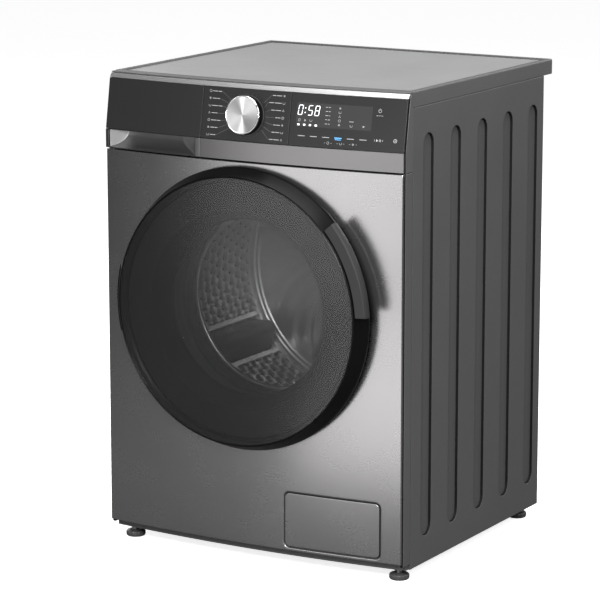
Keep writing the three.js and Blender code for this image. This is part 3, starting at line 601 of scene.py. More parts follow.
@dataclass(frozen=True)
class Finish:
    """One finish, with the numbers that its material is built from."""

    name: str
    slot: str
    color: tuple[float, float, float]
    roughness: float
    metallic: float = 0.0
    specular: float = 0.5
    coat: float = 0.0
    coat_roughness: float = 0.05
    mottle: float = 0.06
    grain: float = 900.0
    grain_depth: float = 0.0
    brush: Brush = Brush.NONE
    streak: float = 0.05
    wear: float = 0.0
    smudge: float = 0.05

    def material(self) -> Material:
        """The Blender material, built once."""
        made = bpy.data.materials.get(self.name)
        if made is None:
            shader = Shader(self.name)
            self.dress(shader)
            made = shader.material
        return made

    def dress(self, shader: Shader) -> None:
        """Fills the material in: constants first, then colour, roughness and bump."""
        shader.feed("Metallic", self.metallic)
        shader.feed("Specular IOR Level", self.specular)
        shader.feed("Coat Weight", self.coat)
        shader.feed("Coat Roughness", self.coat_roughness)
        shader.feed("Base Color", self.colour(shader))
        shader.feed("Roughness", self.gloss(shader))
        if self.grain_depth:
            shader.feed("Normal", self.relief(shader))

    def colour(self, shader: Shader) -> Socket:
        """The base colour: a slow mottle, brushed streaks and paler worn edges."""
        cloud = shader.group("handling", Scale=5.0).outputs["Cloud"]
        body = shader.mix(cloud, tint(self.color, 1 - self.mottle), tint(self.color, 1 + self.mottle))
        if self.brush is not Brush.NONE:
            line = self.lines(shader)
            body = shader.mix(shader.math("MULTIPLY", line, self.streak), body, tint(self.color, 2.2))
        worn = shader.group("edge_wear", Amount=self.wear).outputs["Mask"]
        return shader.mix(worn, body, tint(tuple(c + 0.04 for c in self.color), 1.9))

    def lines(self, shader: Shader) -> Socket:
        """The brushed lines' value."""
        x, y, z = self.brush.value
        return shader.group("brushed_lines", Along_X=x, Along_Y=y, Along_Z=z).outputs["Line"]

    def gloss(self, shader: Shader) -> Socket:
        """The roughness, changed a little by handling and by brushed lines."""
        cloud = shader.group("handling", Scale=11.0).outputs["Cloud"]
        low, high = max(0.0, self.roughness - self.smudge), min(1.0, self.roughness + self.smudge)
        smudged = shader.spread(cloud, low, high)
        if self.brush is Brush.NONE:
            return smudged
        line = shader.spread(self.lines(shader), -0.007, 0.007)
        return shader.math("ADD", smudged, line)

    def relief(self, shader: Shader) -> Socket:
        """The normal: a bump of fine grain."""
        height = shader.group("fine_grain", Scale=self.grain).outputs["Height"]
        return shader.node("Bump", Strength=1.0, Distance=self.grain_depth * MM, Height=height).outputs[0]


@dataclass(frozen=True)
class DrumSteel(Finish):
    """Stainless drum sheet with a perforation at each lattice point of its pattern coordinates, the holes
    painted near-black as shade.
    """

    hole: float = 0.13

    def dress(self, shader: Shader) -> None:
        """Adds the holes as painted shade: near-black and not metallic at points of the lattice nearer than
        the hole's radius.
        """
        super().dress(shader)
        uv = shader.node("UVMap", {"uv_map": "pattern"}).outputs[0]
        cell = shader.node("VectorMath", {"operation": "FRACTION"}, in0=uv).outputs[0]
        away = shader.node("VectorMath", {"operation": "DISTANCE"}, in0=cell, in1=(0.5, 0.5, 0.0)).outputs[1]
        inside = shader.node("MapRange", Value=away, From_Min=self.hole * 1.15, From_Max=self.hole * 0.85)
        body = shader.principled.inputs["Base Color"].links[0].from_socket
        # Painted shade: the holes are coloured near-black instead of being cut through.
        shader.feed("Base Color", shader.mix(inside.outputs[0], body, (0.004, 0.004, 0.004, 1.0)))
        clear = shader.math("SUBTRACT", 1.0, inside.outputs[0])
        shader.feed("Metallic", clear)


@dataclass(frozen=True)
class Pane(Finish):
    """Glass that lets part of the light straight through."""

    alpha: float = 0.5

    def dress(self, shader: Shader) -> None:
        """Adds how much of the pane is solid, a little more where it is smudged."""
        super().dress(shader)
        cloud = shader.group("handling", Scale=4.0).outputs["Cloud"]
        shader.feed("Alpha", shader.spread(cloud, self.alpha - 0.01, self.alpha + 0.01))


@dataclass(frozen=True)
class SpunMetal(Finish):
    """Metal turned on a lathe, its fine rings stretching each highlight across them."""

    anisotropy: float = 0.85

    def dress(self, shader: Shader) -> None:
        """Adds the rings' direction, along the first pattern coordinate."""
        super().dress(shader)
        tangent = shader.node("Tangent", {"direction_type": "UV_MAP", "uv_map": "pattern"})
        shader.feed("Tangent", tangent.outputs[0])
        shader.feed("Anisotropic", self.anisotropy)


@dataclass(frozen=True)
class Lit(Finish):
    """A lamp that shines, or a print given a painted glow though no lamp is behind it."""

    shine: float = 1.0

    def dress(self, shader: Shader) -> None:
        """Adds the glow."""
        super().dress(shader)
        shader.feed("Emission Color", (*self.color, 1.0))
        shader.feed("Emission Strength", self.shine)


class Look(Enum):
    """Every finish on the machine."""

    SIDE_SHEET = Finish("side_sheet_paint", "side_sheet", (0.084, 0.084, 0.084), 0.46, grain=1400,
                        grain_depth=0.012, mottle=0.04)
    # Painted shade: near-black on the channels' steep walls and on the corner strips' front folds, standing
    # in for the shade in those recesses.
    PAINTED_GROOVE_SHADE = Finish("groove_shadow_line", "side_sheet", (0.006, 0.006, 0.006), 0.6, specular=0.2,
                    grain_depth=0.02)
    FRONT_STEEL = Finish("front_graphite_steel", "front_steel", (0.335, 0.327, 0.33), 0.27, metallic=0.95,
                         brush=Brush.ALONG_X, streak=0.02, mottle=0.02, smudge=0.01)
    BAND = Finish("trim_band_steel", "front_steel", (0.185, 0.18, 0.182), 0.3, metallic=0.95,
                  brush=Brush.ALONG_X, streak=0.02, mottle=0.02, smudge=0.01)
    SILVER = Finish("satin_silver", "silver_trim", (0.62, 0.62, 0.62), 0.38, metallic=1.0, mottle=0.0,
                    smudge=0.0)
    WORKTOP = Finish("worktop_frame_plastic", "worktop_plastic", (0.090, 0.090, 0.091), 0.5, grain=2200,
                     grain_depth=0.02)
    INLAY = Finish("worktop_inlay_laminate", "worktop_inlay", (0.25, 0.25, 0.252), 0.4, coat=0.12,
                   coat_roughness=0.25, mottle=0.02)
    GLOSS_BLACK = Finish("fascia_gloss_black", "fascia_gloss", (0.022, 0.022, 0.0225), 0.3, specular=0.3,
                         mottle=0.03, smudge=0.02)
    DISPLAY = Finish("display_window", "fascia_gloss", (0.040, 0.040, 0.041), 0.25, specular=0.3)
    DOOR_BLACK = Finish("door_ring_black", "door_black", (0.003, 0.003, 0.003), 0.3, specular=0.14,
                        smudge=0.03)
    FUNNEL = Finish("door_funnel_black", "door_black", (0.012, 0.012, 0.0125), 0.6, specular=0.25, wear=0.3)
    GRIP = Finish("door_grip_plastic", "door_grip", (0.026, 0.026, 0.027), 0.48, specular=0.25, grain=1800,
                  grain_depth=0.006, wear=0.1)
    SMOKED = Pane("smoked_door_glass", "door_glass", (0.018, 0.018, 0.0185), 0.22, specular=0.85,
                  mottle=0.02, smudge=0.02, alpha=0.34)
    BOWL = Pane("clear_bowl_glass", "bowl_glass", (0.12, 0.125, 0.127), 0.04, specular=0.5, smudge=0.02,
                alpha=0.07)
    RUBBER = Finish("gasket_rubber_grey", "gasket_rubber", (0.035, 0.036, 0.037), 0.6, specular=0.25,
                    mottle=0.12)
    HOSE = Finish("hose_rubber_black", "hose_rubber", (0.02, 0.02, 0.021), 0.7, grain_depth=0.03, wear=0.3)
    GREY = Finish("tub_grey_plastic", "grey_plastic", (0.27, 0.28, 0.29), 0.55, grain_depth=0.04,
                  mottle=0.1, wear=0.3)
    # Painted shade: a near-black copy of the tub's grey plastic for the tub's front, which lies in the shade
    # inside the porthole.
    SHADED_TUB_FRONT = Finish("tub_front_painted_shade", "grey_plastic", (0.03, 0.031, 0.032), 0.55)
    LIFTER = Finish("lifter_dark_plastic", "grey_plastic", (0.035, 0.036, 0.038), 0.42, grain=2000,
                    grain_depth=0.02, wear=0.3)
    WHITE = Finish("white_moulding", "white_plastic", (0.62, 0.63, 0.635), 0.42, grain_depth=0.015,
                   wear=0.3)
    BLACK = Finish("black_moulding", "black_plastic", (0.022, 0.022, 0.023), 0.5, grain_depth=0.03,
                   wear=0.3)
    FOOT = Finish("foot_pad_plastic", "black_plastic", (0.07, 0.07, 0.07), 0.4, wear=0.2)
    STEEL = DrumSteel("perforated_drum_steel", "stainless", (0.5, 0.5, 0.505), 0.34, metallic=0.9,
                      mottle=0.05)
    STAINLESS = Finish("plain_stainless", "stainless", (0.62, 0.62, 0.625), 0.32, metallic=0.9, mottle=0.05)
    ZINC = Finish("zinc_plated_steel", "zinc_steel", (0.50, 0.50, 0.49), 0.36, metallic=1.0, grain=400,
                  grain_depth=0.01, mottle=0.14, wear=0.3)
    CAST = Finish("cast_aluminium", "cast_aluminium", (0.47, 0.475, 0.48), 0.48, metallic=0.9, grain=500,
                  grain_depth=0.08, mottle=0.1, wear=0.3)
    IRON = Finish("cast_weight", "cast_weight", (0.14, 0.14, 0.138), 0.85, grain=350, grain_depth=0.3,
                  mottle=0.25, wear=0.3)
    KNOB = SpunMetal("spun_knob_metal", "knob_metal", (0.88, 0.88, 0.88), 0.34, metallic=1.0, mottle=0.01)
    KNOB_RIM = Finish("bright_knob_rim", "knob_metal", (0.9, 0.9, 0.9), 0.2, metallic=1.0, mottle=0.01,
                      wear=0.3)
    SCOOP = Finish("scoop_silver", "front_steel", (0.30, 0.30, 0.305), 0.35, metallic=0.9,
                   grain_depth=0.004, brush=Brush.ALONG_X, streak=0.03, mottle=0.03, wear=0.3)
    # Painted light: a paler, less metallic copy of the scoop's silver for the scoop's left end wall, which
    # faces the light.
    PAINTED_LIT_CHEEK = Finish("scoop_cheek_painted_light", "front_steel", (0.5, 0.49, 0.495), 0.5, metallic=0.4,
                   grain_depth=0.004, mottle=0.03)
    # Painted glow: printed marks, not lamps, given a faint emission so that they stay bright whatever light
    # falls on them.
    PRINT = Lit("panel_print", "fascia_gloss", (0.42, 0.42, 0.43), 0.5, grain_depth=0.02, shine=0.12)
    FAINT_PRINT = Lit("panel_line_print", "fascia_gloss", (0.16, 0.16, 0.165), 0.5, grain_depth=0.02,
                      shine=0.02)
    LAMP = Lit("display_lamp", "fascia_gloss", (0.95, 0.97, 1.0), 0.4, grain_depth=0.02, shine=1.0)
    BLUE_LAMP = Lit("key_lamp_blue", "fascia_gloss", (0.10, 0.36, 0.72), 0.4, grain_depth=0.02, shine=0.9)


# ------------ outlines


def matched_loop(x: tuple[float, float], z: tuple[float, float], radius: float, counts: tuple[int, int],
                 bunch: bool = True) -> Array:
    """A round-cornered rectangle whose four sides hold a given number of points each.

    A side runs from the middle of one corner's curve to the middle of the next, so that it can be
    joined to the same side of a plain rectangle. Its points follow t or (1 - cos(pi t)) / 2.

    Args:
        x: its left and right.
        z: its bottom and top.
        radius: corner radius.
        counts: points on the bottom and top, and on the left and right.
        bunch: whether points gather towards the corners.

    Returns:
        The outline, counterclockwise from the lower left.
    """
    centres = [(x[0] + radius, z[0] + radius), (x[1] - radius, z[0] + radius),
               (x[1] - radius, z[1] - radius), (x[0] + radius, z[1] - radius)]
    sides = []
    for k in range(4):
        turn = 90 * k
        line = np.concatenate([arc(centres[k], radius, 225 + turn, 270 + turn, 24),
                               arc(centres[(k + 1) % 4], radius, 270 + turn, 315 + turn, 24)])
        along = np.concatenate([[0], np.cumsum(np.linalg.norm(np.diff(line, axis=0), axis=1))])
        t = np.linspace(0, 1, counts[k % 2], endpoint=False)
        at = along[-1] * (0.5 - 0.5 * np.cos(math.pi * t) if bunch else t)
        sides.append(np.stack([np.interp(at, along, line[:, i]) for i in range(2)], 1))
    return np.concatenate(sides)


def round_loop(x: float, z: float, radius: float, counts: tuple[int, int]) -> Array:
    """A circle whose four quarters hold a given number of points each."""
    return matched_loop((x - radius, x + radius), (z - radius, z + radius), radius, counts, False)


def box_loop(xs: Array, zs: Array) -> Array:
    """A plain rectangle through given stations, counterclockwise from the lower left."""
    bottom = np.stack([xs[:-1], np.full(len(xs) - 1, zs[0])], 1)
    right = np.stack([np.full(len(zs) - 1, xs[-1]), zs[:-1]], 1)
    top = np.stack([xs[:0:-1], np.full(len(xs) - 1, zs[-1])], 1)
    left = np.stack([np.full(len(zs) - 1, xs[0]), zs[:0:-1]], 1)
    return np.concatenate([bottom, right, top, left])


def between(outer: Array, inner: Array, shares: Array) -> Array:
    """Outlines in between two matched ones, at the given shares of the way inwards."""
    t = np.asarray(shares, float)[:, None, None]
    return outer[None] * (1 - t) + inner[None] * t


def lift(loops: Array, y: Array) -> Array:
    """Adds y to outlines in x and z."""
    return np.stack([loops[..., 0], np.broadcast_to(y, loops.shape[:-1]), loops[..., 1]], -1)


@dataclass(frozen=True)
class Skin:
    """The y of a front surface: the bow, plus a lean that grows above a height."""

    offset: float = 0.0
    lean_from: float = 0.0
    lean: float = 0.0

    def y(self, x: Array, z: Array) -> Array:
        """The surface's y at x and z: bow(x) + offset + lean * (z - lean_from)."""
        return bow(x) + self.offset + self.lean * (z - self.lean_from)


FASCIA_LOW, FASCIA_HIGH = 750.0, 838.3
FASCIA = Skin(offset=-0.5, lean_from=FASCIA_LOW, lean=14.5 / (FASCIA_HIGH - FASCIA_LOW))
PLATE_COUNTS = (60, 28)


def plate(skin: Skin, x: tuple[float, float], z: tuple[float, float], corner: float, depth: float,
          edge: float, rings: int = 14) -> Array:
    """A plate that follows a skin: rings from the middle of its back, round its edge, to its front.

    Args:
        skin: the surface that its front follows.
        x: its left and right.
        z: its bottom and top.
        corner: radius of its corners.
        depth: its thickness.
        edge: radius of its front edge.
        rings: how many rings fill its front.

    Returns:
        A grid with a row for each ring.
    """
    def loop(inset: float) -> Array:
        return matched_loop((x[0] + inset, x[1] - inset), (z[0] + inset, z[1] - inset),
                            max(corner - inset, 0.05), PLATE_COUNTS)

    middle = np.array([[sum(x) / 2, sum(z) / 2]])
    angle = np.linspace(0, math.pi / 2, 5)
    rim = [(loop(edge * (1 - math.cos(a))), edge * (1 - math.sin(a))) for a in angle]
    inwards = np.linspace(0, 1, rings + 1)
    front = between(rim[-1][0], middle, inwards)
    back = between(rim[0][0], middle, inwards[::-1])
    loops = np.concatenate([back, *[r[0][None] for r in rim], front])
    depths = np.concatenate([np.full(rings + 1, depth), [r[1] for r in rim], np.zeros(rings + 1)])
    return lift(loops, skin.y(loops[..., 0], loops[..., 1]) + depths[:, None])


def gloss_cover(name: str, body: str, node: str, x: tuple[float, float]) -> None:
    """Makes one of the fascia's three gloss covers, which stands for a CAD node."""
    cover = plate(FASCIA, x, (FASCIA_LOW, FASCIA_HIGH), 1.2, 3.0, 0.6)
    Surface().grid(cover, wrap_v=True).build(name, body, [Look.GLOSS_BLACK], (node,))


def screw_head(x: float, y: float, z: float, radius: float = 4.0) -> Surface:
    """A pan-head screw with a cross recess, facing backwards.

    Args:
        x: its middle.
        y: the face that it sits on.
        z: its middle.
        radius: of its head.

    Returns:
        Its surface: a dome, lower within a cross where the smaller of |u| and |v| is small.
    """
    angle = np.linspace(0, TAU, 32, endpoint=False)[:, None]
    r = radius * np.linspace(0, 1, 13)[None, :]
    u, v = r * np.cos(angle), r * np.sin(angle)
    dome = 2.2 * np.sqrt(1 - 0.85 * (r / radius) ** 2)
    slot = (np.minimum(abs(u), abs(v)) < 0.13 * radius) & (r < 0.55 * radius)
    height = np.where(slot, dome - 1.1, dome + 0 * angle)
    surface = Surface().grid(np.stack([x + u, y + height, z + v], -1), wrap_u=True)
    skirt = np.stack([x + u[:, -1], y + 0 * u[:, -1], z + v[:, -1]], -1)
    top = np.stack([x + u[:, -1], y + height[:, -1], z + v[:, -1]], -1)
    return surface.grid(np.stack([top, skirt]), wrap_v=True).cap(skirt)


# ------------ cabinet


@dataclass
class SidePanels:
    """Both side sheets, with pressed channels, and the corner strips in front of them."""

    seam: float = 31.7
    back: float = 533.5
    bottom: float = 21.5
    top: float = 822.0
    channels: int = 5
    first: float = 87.5
    pitch: float = 100.5
    half: float = 19.0
    low: float = 70.0
    high: float = 774.0
    depth: float = 5.0
    roll: float = 1.2
    strip_front: float = 7.0
    strip_bottom: float = 31.5
    strip_joint: float = 714.0
    strip_top: float = 848.0

    def channel(self, middle: float, out: float) -> Array:
        """A channel's outline, grown by a margin: a rectangle with fully round ends."""
        half = self.half + out
        return matched_loop((middle - half, middle + half), (self.low - out, self.high + out), half,
                            (18, 80), False)

    def add_channel(self, surface: Surface, side: int, edges: tuple[float, float], middle: float) -> None:
        """Adds one bay of the sheet: flat, down a steep wall painted near-black as shade, and a flat floor.
        """
        outer = box_loop(np.linspace(*edges, 19), np.linspace(self.bottom + self.roll,
                                                              self.top - self.roll, 81))
        lip = 0.8
        flat = between(outer, self.channel(middle, lip), np.array([0, 0.5, 0.9, 1.0]))
        surface.grid(self.outwards(side, flat, np.zeros(4)), wrap_v=True)
        angle = np.linspace(0, math.pi / 2, 4)
        wall = [(lip * (1 - math.sin(a)), lip * (1 - math.cos(a))) for a in angle]
        wall += [(-0.2, self.depth - 0.5), (-0.7, self.depth)]
        loops = np.stack([self.channel(middle, out) for out, _ in wall])
        grid = self.outwards(side, loops, np.array([deep for _, deep in wall]))
        # Slot 1 paints the steep wall near-black: painted shade.
        surface.grid(grid[:3], wrap_v=True).grid(grid[2:], wrap_v=True, slot=1)
        floor = np.stack([self.channel(middle, out) for out in (-0.7, -1.5, -17.0)])
        floor = self.outwards(side, floor, np.full(3, self.depth))
        surface.grid(floor, wrap_v=True).cap(floor[-1])

    def outwards(self, side: int, loops: Array, depths: Array) -> Array:
        """Outlines in y and z placed on a side, at depths below its face."""
        x = np.broadcast_to(side * (HALF_WIDTH - depths)[:, None], loops.shape[:-1])
        return np.stack([x, loops[..., 0], loops[..., 1]], -1)

    def sheet(self, side: int) -> Surface:
        """The side sheet: a bay for each channel, a margin in front of them, and a rolled edge."""
        middles = self.first + self.pitch * np.arange(self.channels)
        start, end = self.seam + 0.5 + self.roll, self.back - self.roll
        edges = np.concatenate([middles - self.pitch / 2, [end]])
        surface = Surface()
        for k, middle in enumerate(middles):
            self.add_channel(surface, side, (edges[k], edges[k + 1]), middle)
        zs = np.linspace(self.bottom + self.roll, self.top - self.roll, 81)
        margin = np.stack([np.stack([np.full(81, y), zs], 1) for y in (start, edges[0])])
        surface.grid(self.outwards(side, margin, np.zeros(2)))
        ys = np.concatenate([[start], *(np.linspace(edges[k], edges[k + 1], 19)[:-1]
                                        for k in range(self.channels)), [end]])
        surface.grid(self.outwards(side, *rolled_edge(box_loop(ys, zs), self.roll, 9.0)), wrap_v=True)
        return surface

    def strip_edge(self, z: Array) -> Array:
        """Front edge of the corner strip: straight, then leaning back with the fascia."""
        return np.interp(z, [31.5, 750, 838.3, 848], [self.strip_front, self.strip_front, 21.5, 27])

    def strip(self, side: int, low: float, high: float, back: float, back_fold: float) -> Surface:
        """Part of the corner strip: a narrow folded piece between the front and the seam.

        Args:
            side: -1 for left, 1 for right.
            low: its bottom.
            high: its top.
            back: y of its back edge.
            back_fold: how far in its back edge folds.

        Returns:
            Its surface.
        """
        z = np.concatenate([[low, low, low + 0.8], np.linspace(low + 6, high - 6, 30),
                            [high - 0.8, high, high]])
        in_z = np.concatenate([[6, 0.8, 0], np.zeros(30), [0, 0.8, 6]])
        share = np.array([0, 0, 0.03, 0.2, 0.5, 0.8, 0.97, 1, 1])
        in_y = np.array([6, 0.8, 0, 0, 0, 0, 0, min(0.8, back_fold), back_fold])
        front = self.strip_edge(z)[None, :]
        y = front + (back - front) * share[:, None]
        inwards = np.maximum(in_y[:, None], in_z[None, :])
        points = np.stack(np.broadcast_arrays(side * (HALF_WIDTH - inwards), y, z[None, :]), -1)
        # The first rows, the fold in at the front edge, take slot 1: painted shade.
        return Surface().grid(points[:2], slot=1).grid(points[1:])

    def build(self) -> None:
        """Makes both sides."""
        for side, name in ((-1, "left"), (1, "right")):
            sheet = self.sheet(side).build(
                f"{name}_side_sheet", "cabinet", [Look.SIDE_SHEET, Look.PAINTED_GROOVE_SHADE], (f"{name}_side_panel",))
            lower = self.strip(side, self.strip_bottom, self.strip_joint - 0.4, self.seam - 0.5, 6.0)
            upper = self.strip(side, self.strip_joint + 0.4, self.strip_top, self.seam + 0.6, 0.0)
            thicken(sheet, 0.9)
            thicken(lower.build(f"{name}_corner_strip", "cabinet", [Look.SIDE_SHEET, Look.PAINTED_GROOVE_SHADE]), 0.9)
            thicken(upper.build(f"{name}_corner_cap", "cabinet", [Look.WORKTOP, Look.PAINTED_GROOVE_SHADE]), 0.9)


def rolled_edge(loop: Array, roll: float, fold: float) -> tuple[Array, Array]:
    """An outline pushed out and back by a quarter circle, then straight back.

    Args:
        loop: the outline, rows of two.
        roll: the quarter circle's radius.
        fold: how far back the edge goes.

    Returns:
        The outlines, and each one's depth.
    """
    middle, reach = (loop.max(0) + loop.min(0)) / 2, (loop.max(0) - loop.min(0)) / 2
    angle = np.linspace(0, math.pi / 2, 5)
    scale = (reach[None] + roll * np.sin(angle)[:, None]) / reach
    loops = middle + (loop - middle)[None] * scale[:, None, :]
    return np.concatenate([loops, loops[-1:]]), np.append(roll * (1 - np.cos(angle)), fold)


def thicken(piece: Object, millimetres: float) -> None:
    """Gives a sheet its thickness, inwards from its outer face."""
    modifier = piece.modifiers.new("thickness", "SOLIDIFY")
    modifier.thickness = millimetres * MM
    modifier.offset = -1.0
    piece.modifiers.move(len(piece.modifiers) - 1, 0)


@dataclass
class FrontPanel:
    """The bulging steel front, with the door's dish and the flap's opening."""

    half: float = 296.8
    bottom: float = 37.0
    top: float = 713.5
    split: float = 200.0
    roll: float = 1.4
    dish: float = 212.0
    dish_floor: float = 5.0
    aperture: float = 175.0
    flap_x: tuple[float, float] = (75.2, 259.8)
    flap_z: tuple[float, float] = (42.9, 143.3)
    flap_corner: float = 10.4
    side_x: float = 37.0

    def stations(self) -> dict[str, Array]:
        """Where the panel's patches share points along their edges."""
        half, roll = self.half - self.roll, self.roll
        return {
            "left": np.linspace(-half, self.side_x, 56),
            "right": np.linspace(self.side_x, half, 49),
            "low": np.linspace(self.bottom + roll, self.split, 29),
            "high": np.linspace(self.split, self.top - roll, 81),
        }

    def flap_loop(self, out: float, counts: tuple[int, int]) -> Array:
        """The flap opening's outline, grown by a margin."""
        return matched_loop((self.flap_x[0] - out, self.flap_x[1] + out),
                            (self.flap_z[0] - out, self.flap_z[1] + out), self.flap_corner + out, counts)

    def lipped(self, outer: Array, hole: Callable[[float], Array], lip: float, steps: int) -> list[Array]:
        """The bulging sheet from an outline in to a hole, then a quarter circle round its lip.

        Args:
            outer: the patch's outline.
            hole: gives the hole's outline, grown by a margin.
            lip: the quarter circle's radius.
            steps: rows from the outline to the lip.

        Returns:
            Stacks of rows.
        """
        front = between(outer, hole(lip), np.linspace(0, 1, steps))
        rows = [lift(front, bow(front[..., 0]))]
        for angle in np.linspace(0.2, math.pi / 2, 6):
            ring = hole(lip * (1 - math.sin(angle)))
            rows.append(lift(ring, bow(ring[:, 0]) + lip * (1 - math.cos(angle)))[None])
        return rows

    def dished(self, at: dict[str, Array]) -> Array:
        """The upper patch: from its outline in to the dish, round its lip and down to the floor."""
        xs = np.concatenate([at["left"], at["right"][1:]])
        outer = box_loop(xs, at["high"])
        counts = (len(xs) - 1, len(at["high"]) - 1)

        def circle(out: float) -> Array:
            return round_loop(0, AXIS_Z, self.dish + out, counts)

        rows = self.lipped(outer, circle, 2.6, 40)
        floor = [(self.dish - 0.2, self.dish_floor - 3), (self.dish - 1.2, self.dish_floor - 0.8),
                 (self.dish - 3.5, self.dish_floor), (self.aperture + 14, self.dish_floor),
                 (self.aperture + 10, self.dish_floor + 1.4), (self.aperture + 2, self.dish_floor + 1.6),
                 (self.aperture + 0.4, self.dish_floor + 2.2), (self.aperture, self.dish_floor + 5)]
        rows += [lift(circle(radius - self.dish), y)[None] for radius, y in floor]
        return np.concatenate(rows)

    def flapped(self, at: dict[str, Array]) -> Array:
        """The lower right patch: from its outline in to the flap's opening and back round its lip."""
        outer = box_loop(at["right"], at["low"])
        counts = (len(at["right"]) - 1, len(at["low"]) - 1)

        def hole(out: float) -> Array:
            return self.flap_loop(out, counts)

        rows = self.lipped(outer, hole, 1.9, 16)
        ring = hole(0)
        rows.append(lift(ring, bow(ring[:, 0]) + 6)[None])
        return np.concatenate(rows)

    def plain(self, at: dict[str, Array]) -> Array:
        """The lower left patch, which only bulges."""
        x, z = np.meshgrid(at["left"], at["low"], indexing="ij")
        return np.stack([x, bow(x), z], -1)

    def hem(self, at: dict[str, Array]) -> Array:
        """The rolled outer edge of the panel."""
        xs = np.concatenate([at["left"], at["right"][1:]])
        zs = np.concatenate([at["low"], at["high"][1:]])
        loops, depths = rolled_edge(box_loop(xs, zs), self.roll, 5.5)
        return lift(loops, bow(loops[..., 0]) + depths[:, None])

    def build(self) -> None:
        """Makes the panel, its dark side seals and the recess behind the flap."""
        at = self.stations()
        surface = Surface().grid(self.dished(at), wrap_v=True).grid(self.flapped(at), wrap_v=True)
        surface.grid(self.plain(at)).grid(self.hem(at), wrap_v=True)
        panel = surface.build("front_steel_panel", "cabinet", [Look.FRONT_STEEL], ("front_panel",))
        thicken(panel, 0.8)
        for side, name in ((-1, "left"), (1, "right")):
            xs = (side * 295.6, side * 292.6)
            seal = block((min(xs), max(xs)), (1.5, 14), (38.5, 711), 0.5)
            Surface().solid(seal).build(f"{name}_front_seal", "cabinet", [Look.BLACK])
        self.build_recess()

    def build_recess(self) -> None:
        """The moulded recess behind the flap, with a round hole for the filter."""
        counts = (40, 24)
        centre, radius = (168.0, 93.0), 33.0

        def loop(out: float) -> Array:
            return self.flap_loop(out, counts)

        def circle(r: float) -> Array:
            return round_loop(*centre, r, counts)

        outside = loop(5)
        rows = [lift(outside, bow(outside[:, 0]) + 2.2)]
        rows += [lift(loop(out), bow(loop(out)[:, 0]) + back) for out, back in ((-1.2, 2.2), (-1.8, 3.4))]
        rows += [lift(loop(-3.5), 3.2), lift(loop(-5), 5.0), lift(circle(radius + 2), 5.0)]
        rows += [lift(circle(radius), 4.2), lift(circle(radius - 0.4), 12.0), lift(circle(radius + 3), 12.0)]
        rows += [lift(loop(2), 8.0), lift(outside, bow(outside[:, 0]) + 5.0)]
        Surface().grid(np.stack(rows), wrap_u=True, wrap_v=True).build(
            "flap_recess", "cabinet", [Look.BLACK])


@dataclass
class ServiceFlap:
    """The flap over the drain filter, curved like the panel, with its hinge bar."""

    x: tuple[float, float] = (77.5, 257.5)
    z: tuple[float, float] = (45.2, 141.0)

    def build(self) -> None:
        """Makes the flap."""
        surface = Surface().grid(plate(Skin(), self.x, self.z, 8.5, 2.4, 0.9, rings=16), wrap_v=True)
        surface.build("service_flap_plate", "flap", [Look.FRONT_STEEL], ("service_flap",))
        y = float(bow(self.x[0])) + 3.2
        hinge = block((self.x[0] + 1.0, self.x[0] + 5.0), (y - 1, y + 1.6), (58, 128), 0.6)
        Surface().solid(hinge).build("flap_hinge_bar", "flap", [Look.BLACK])


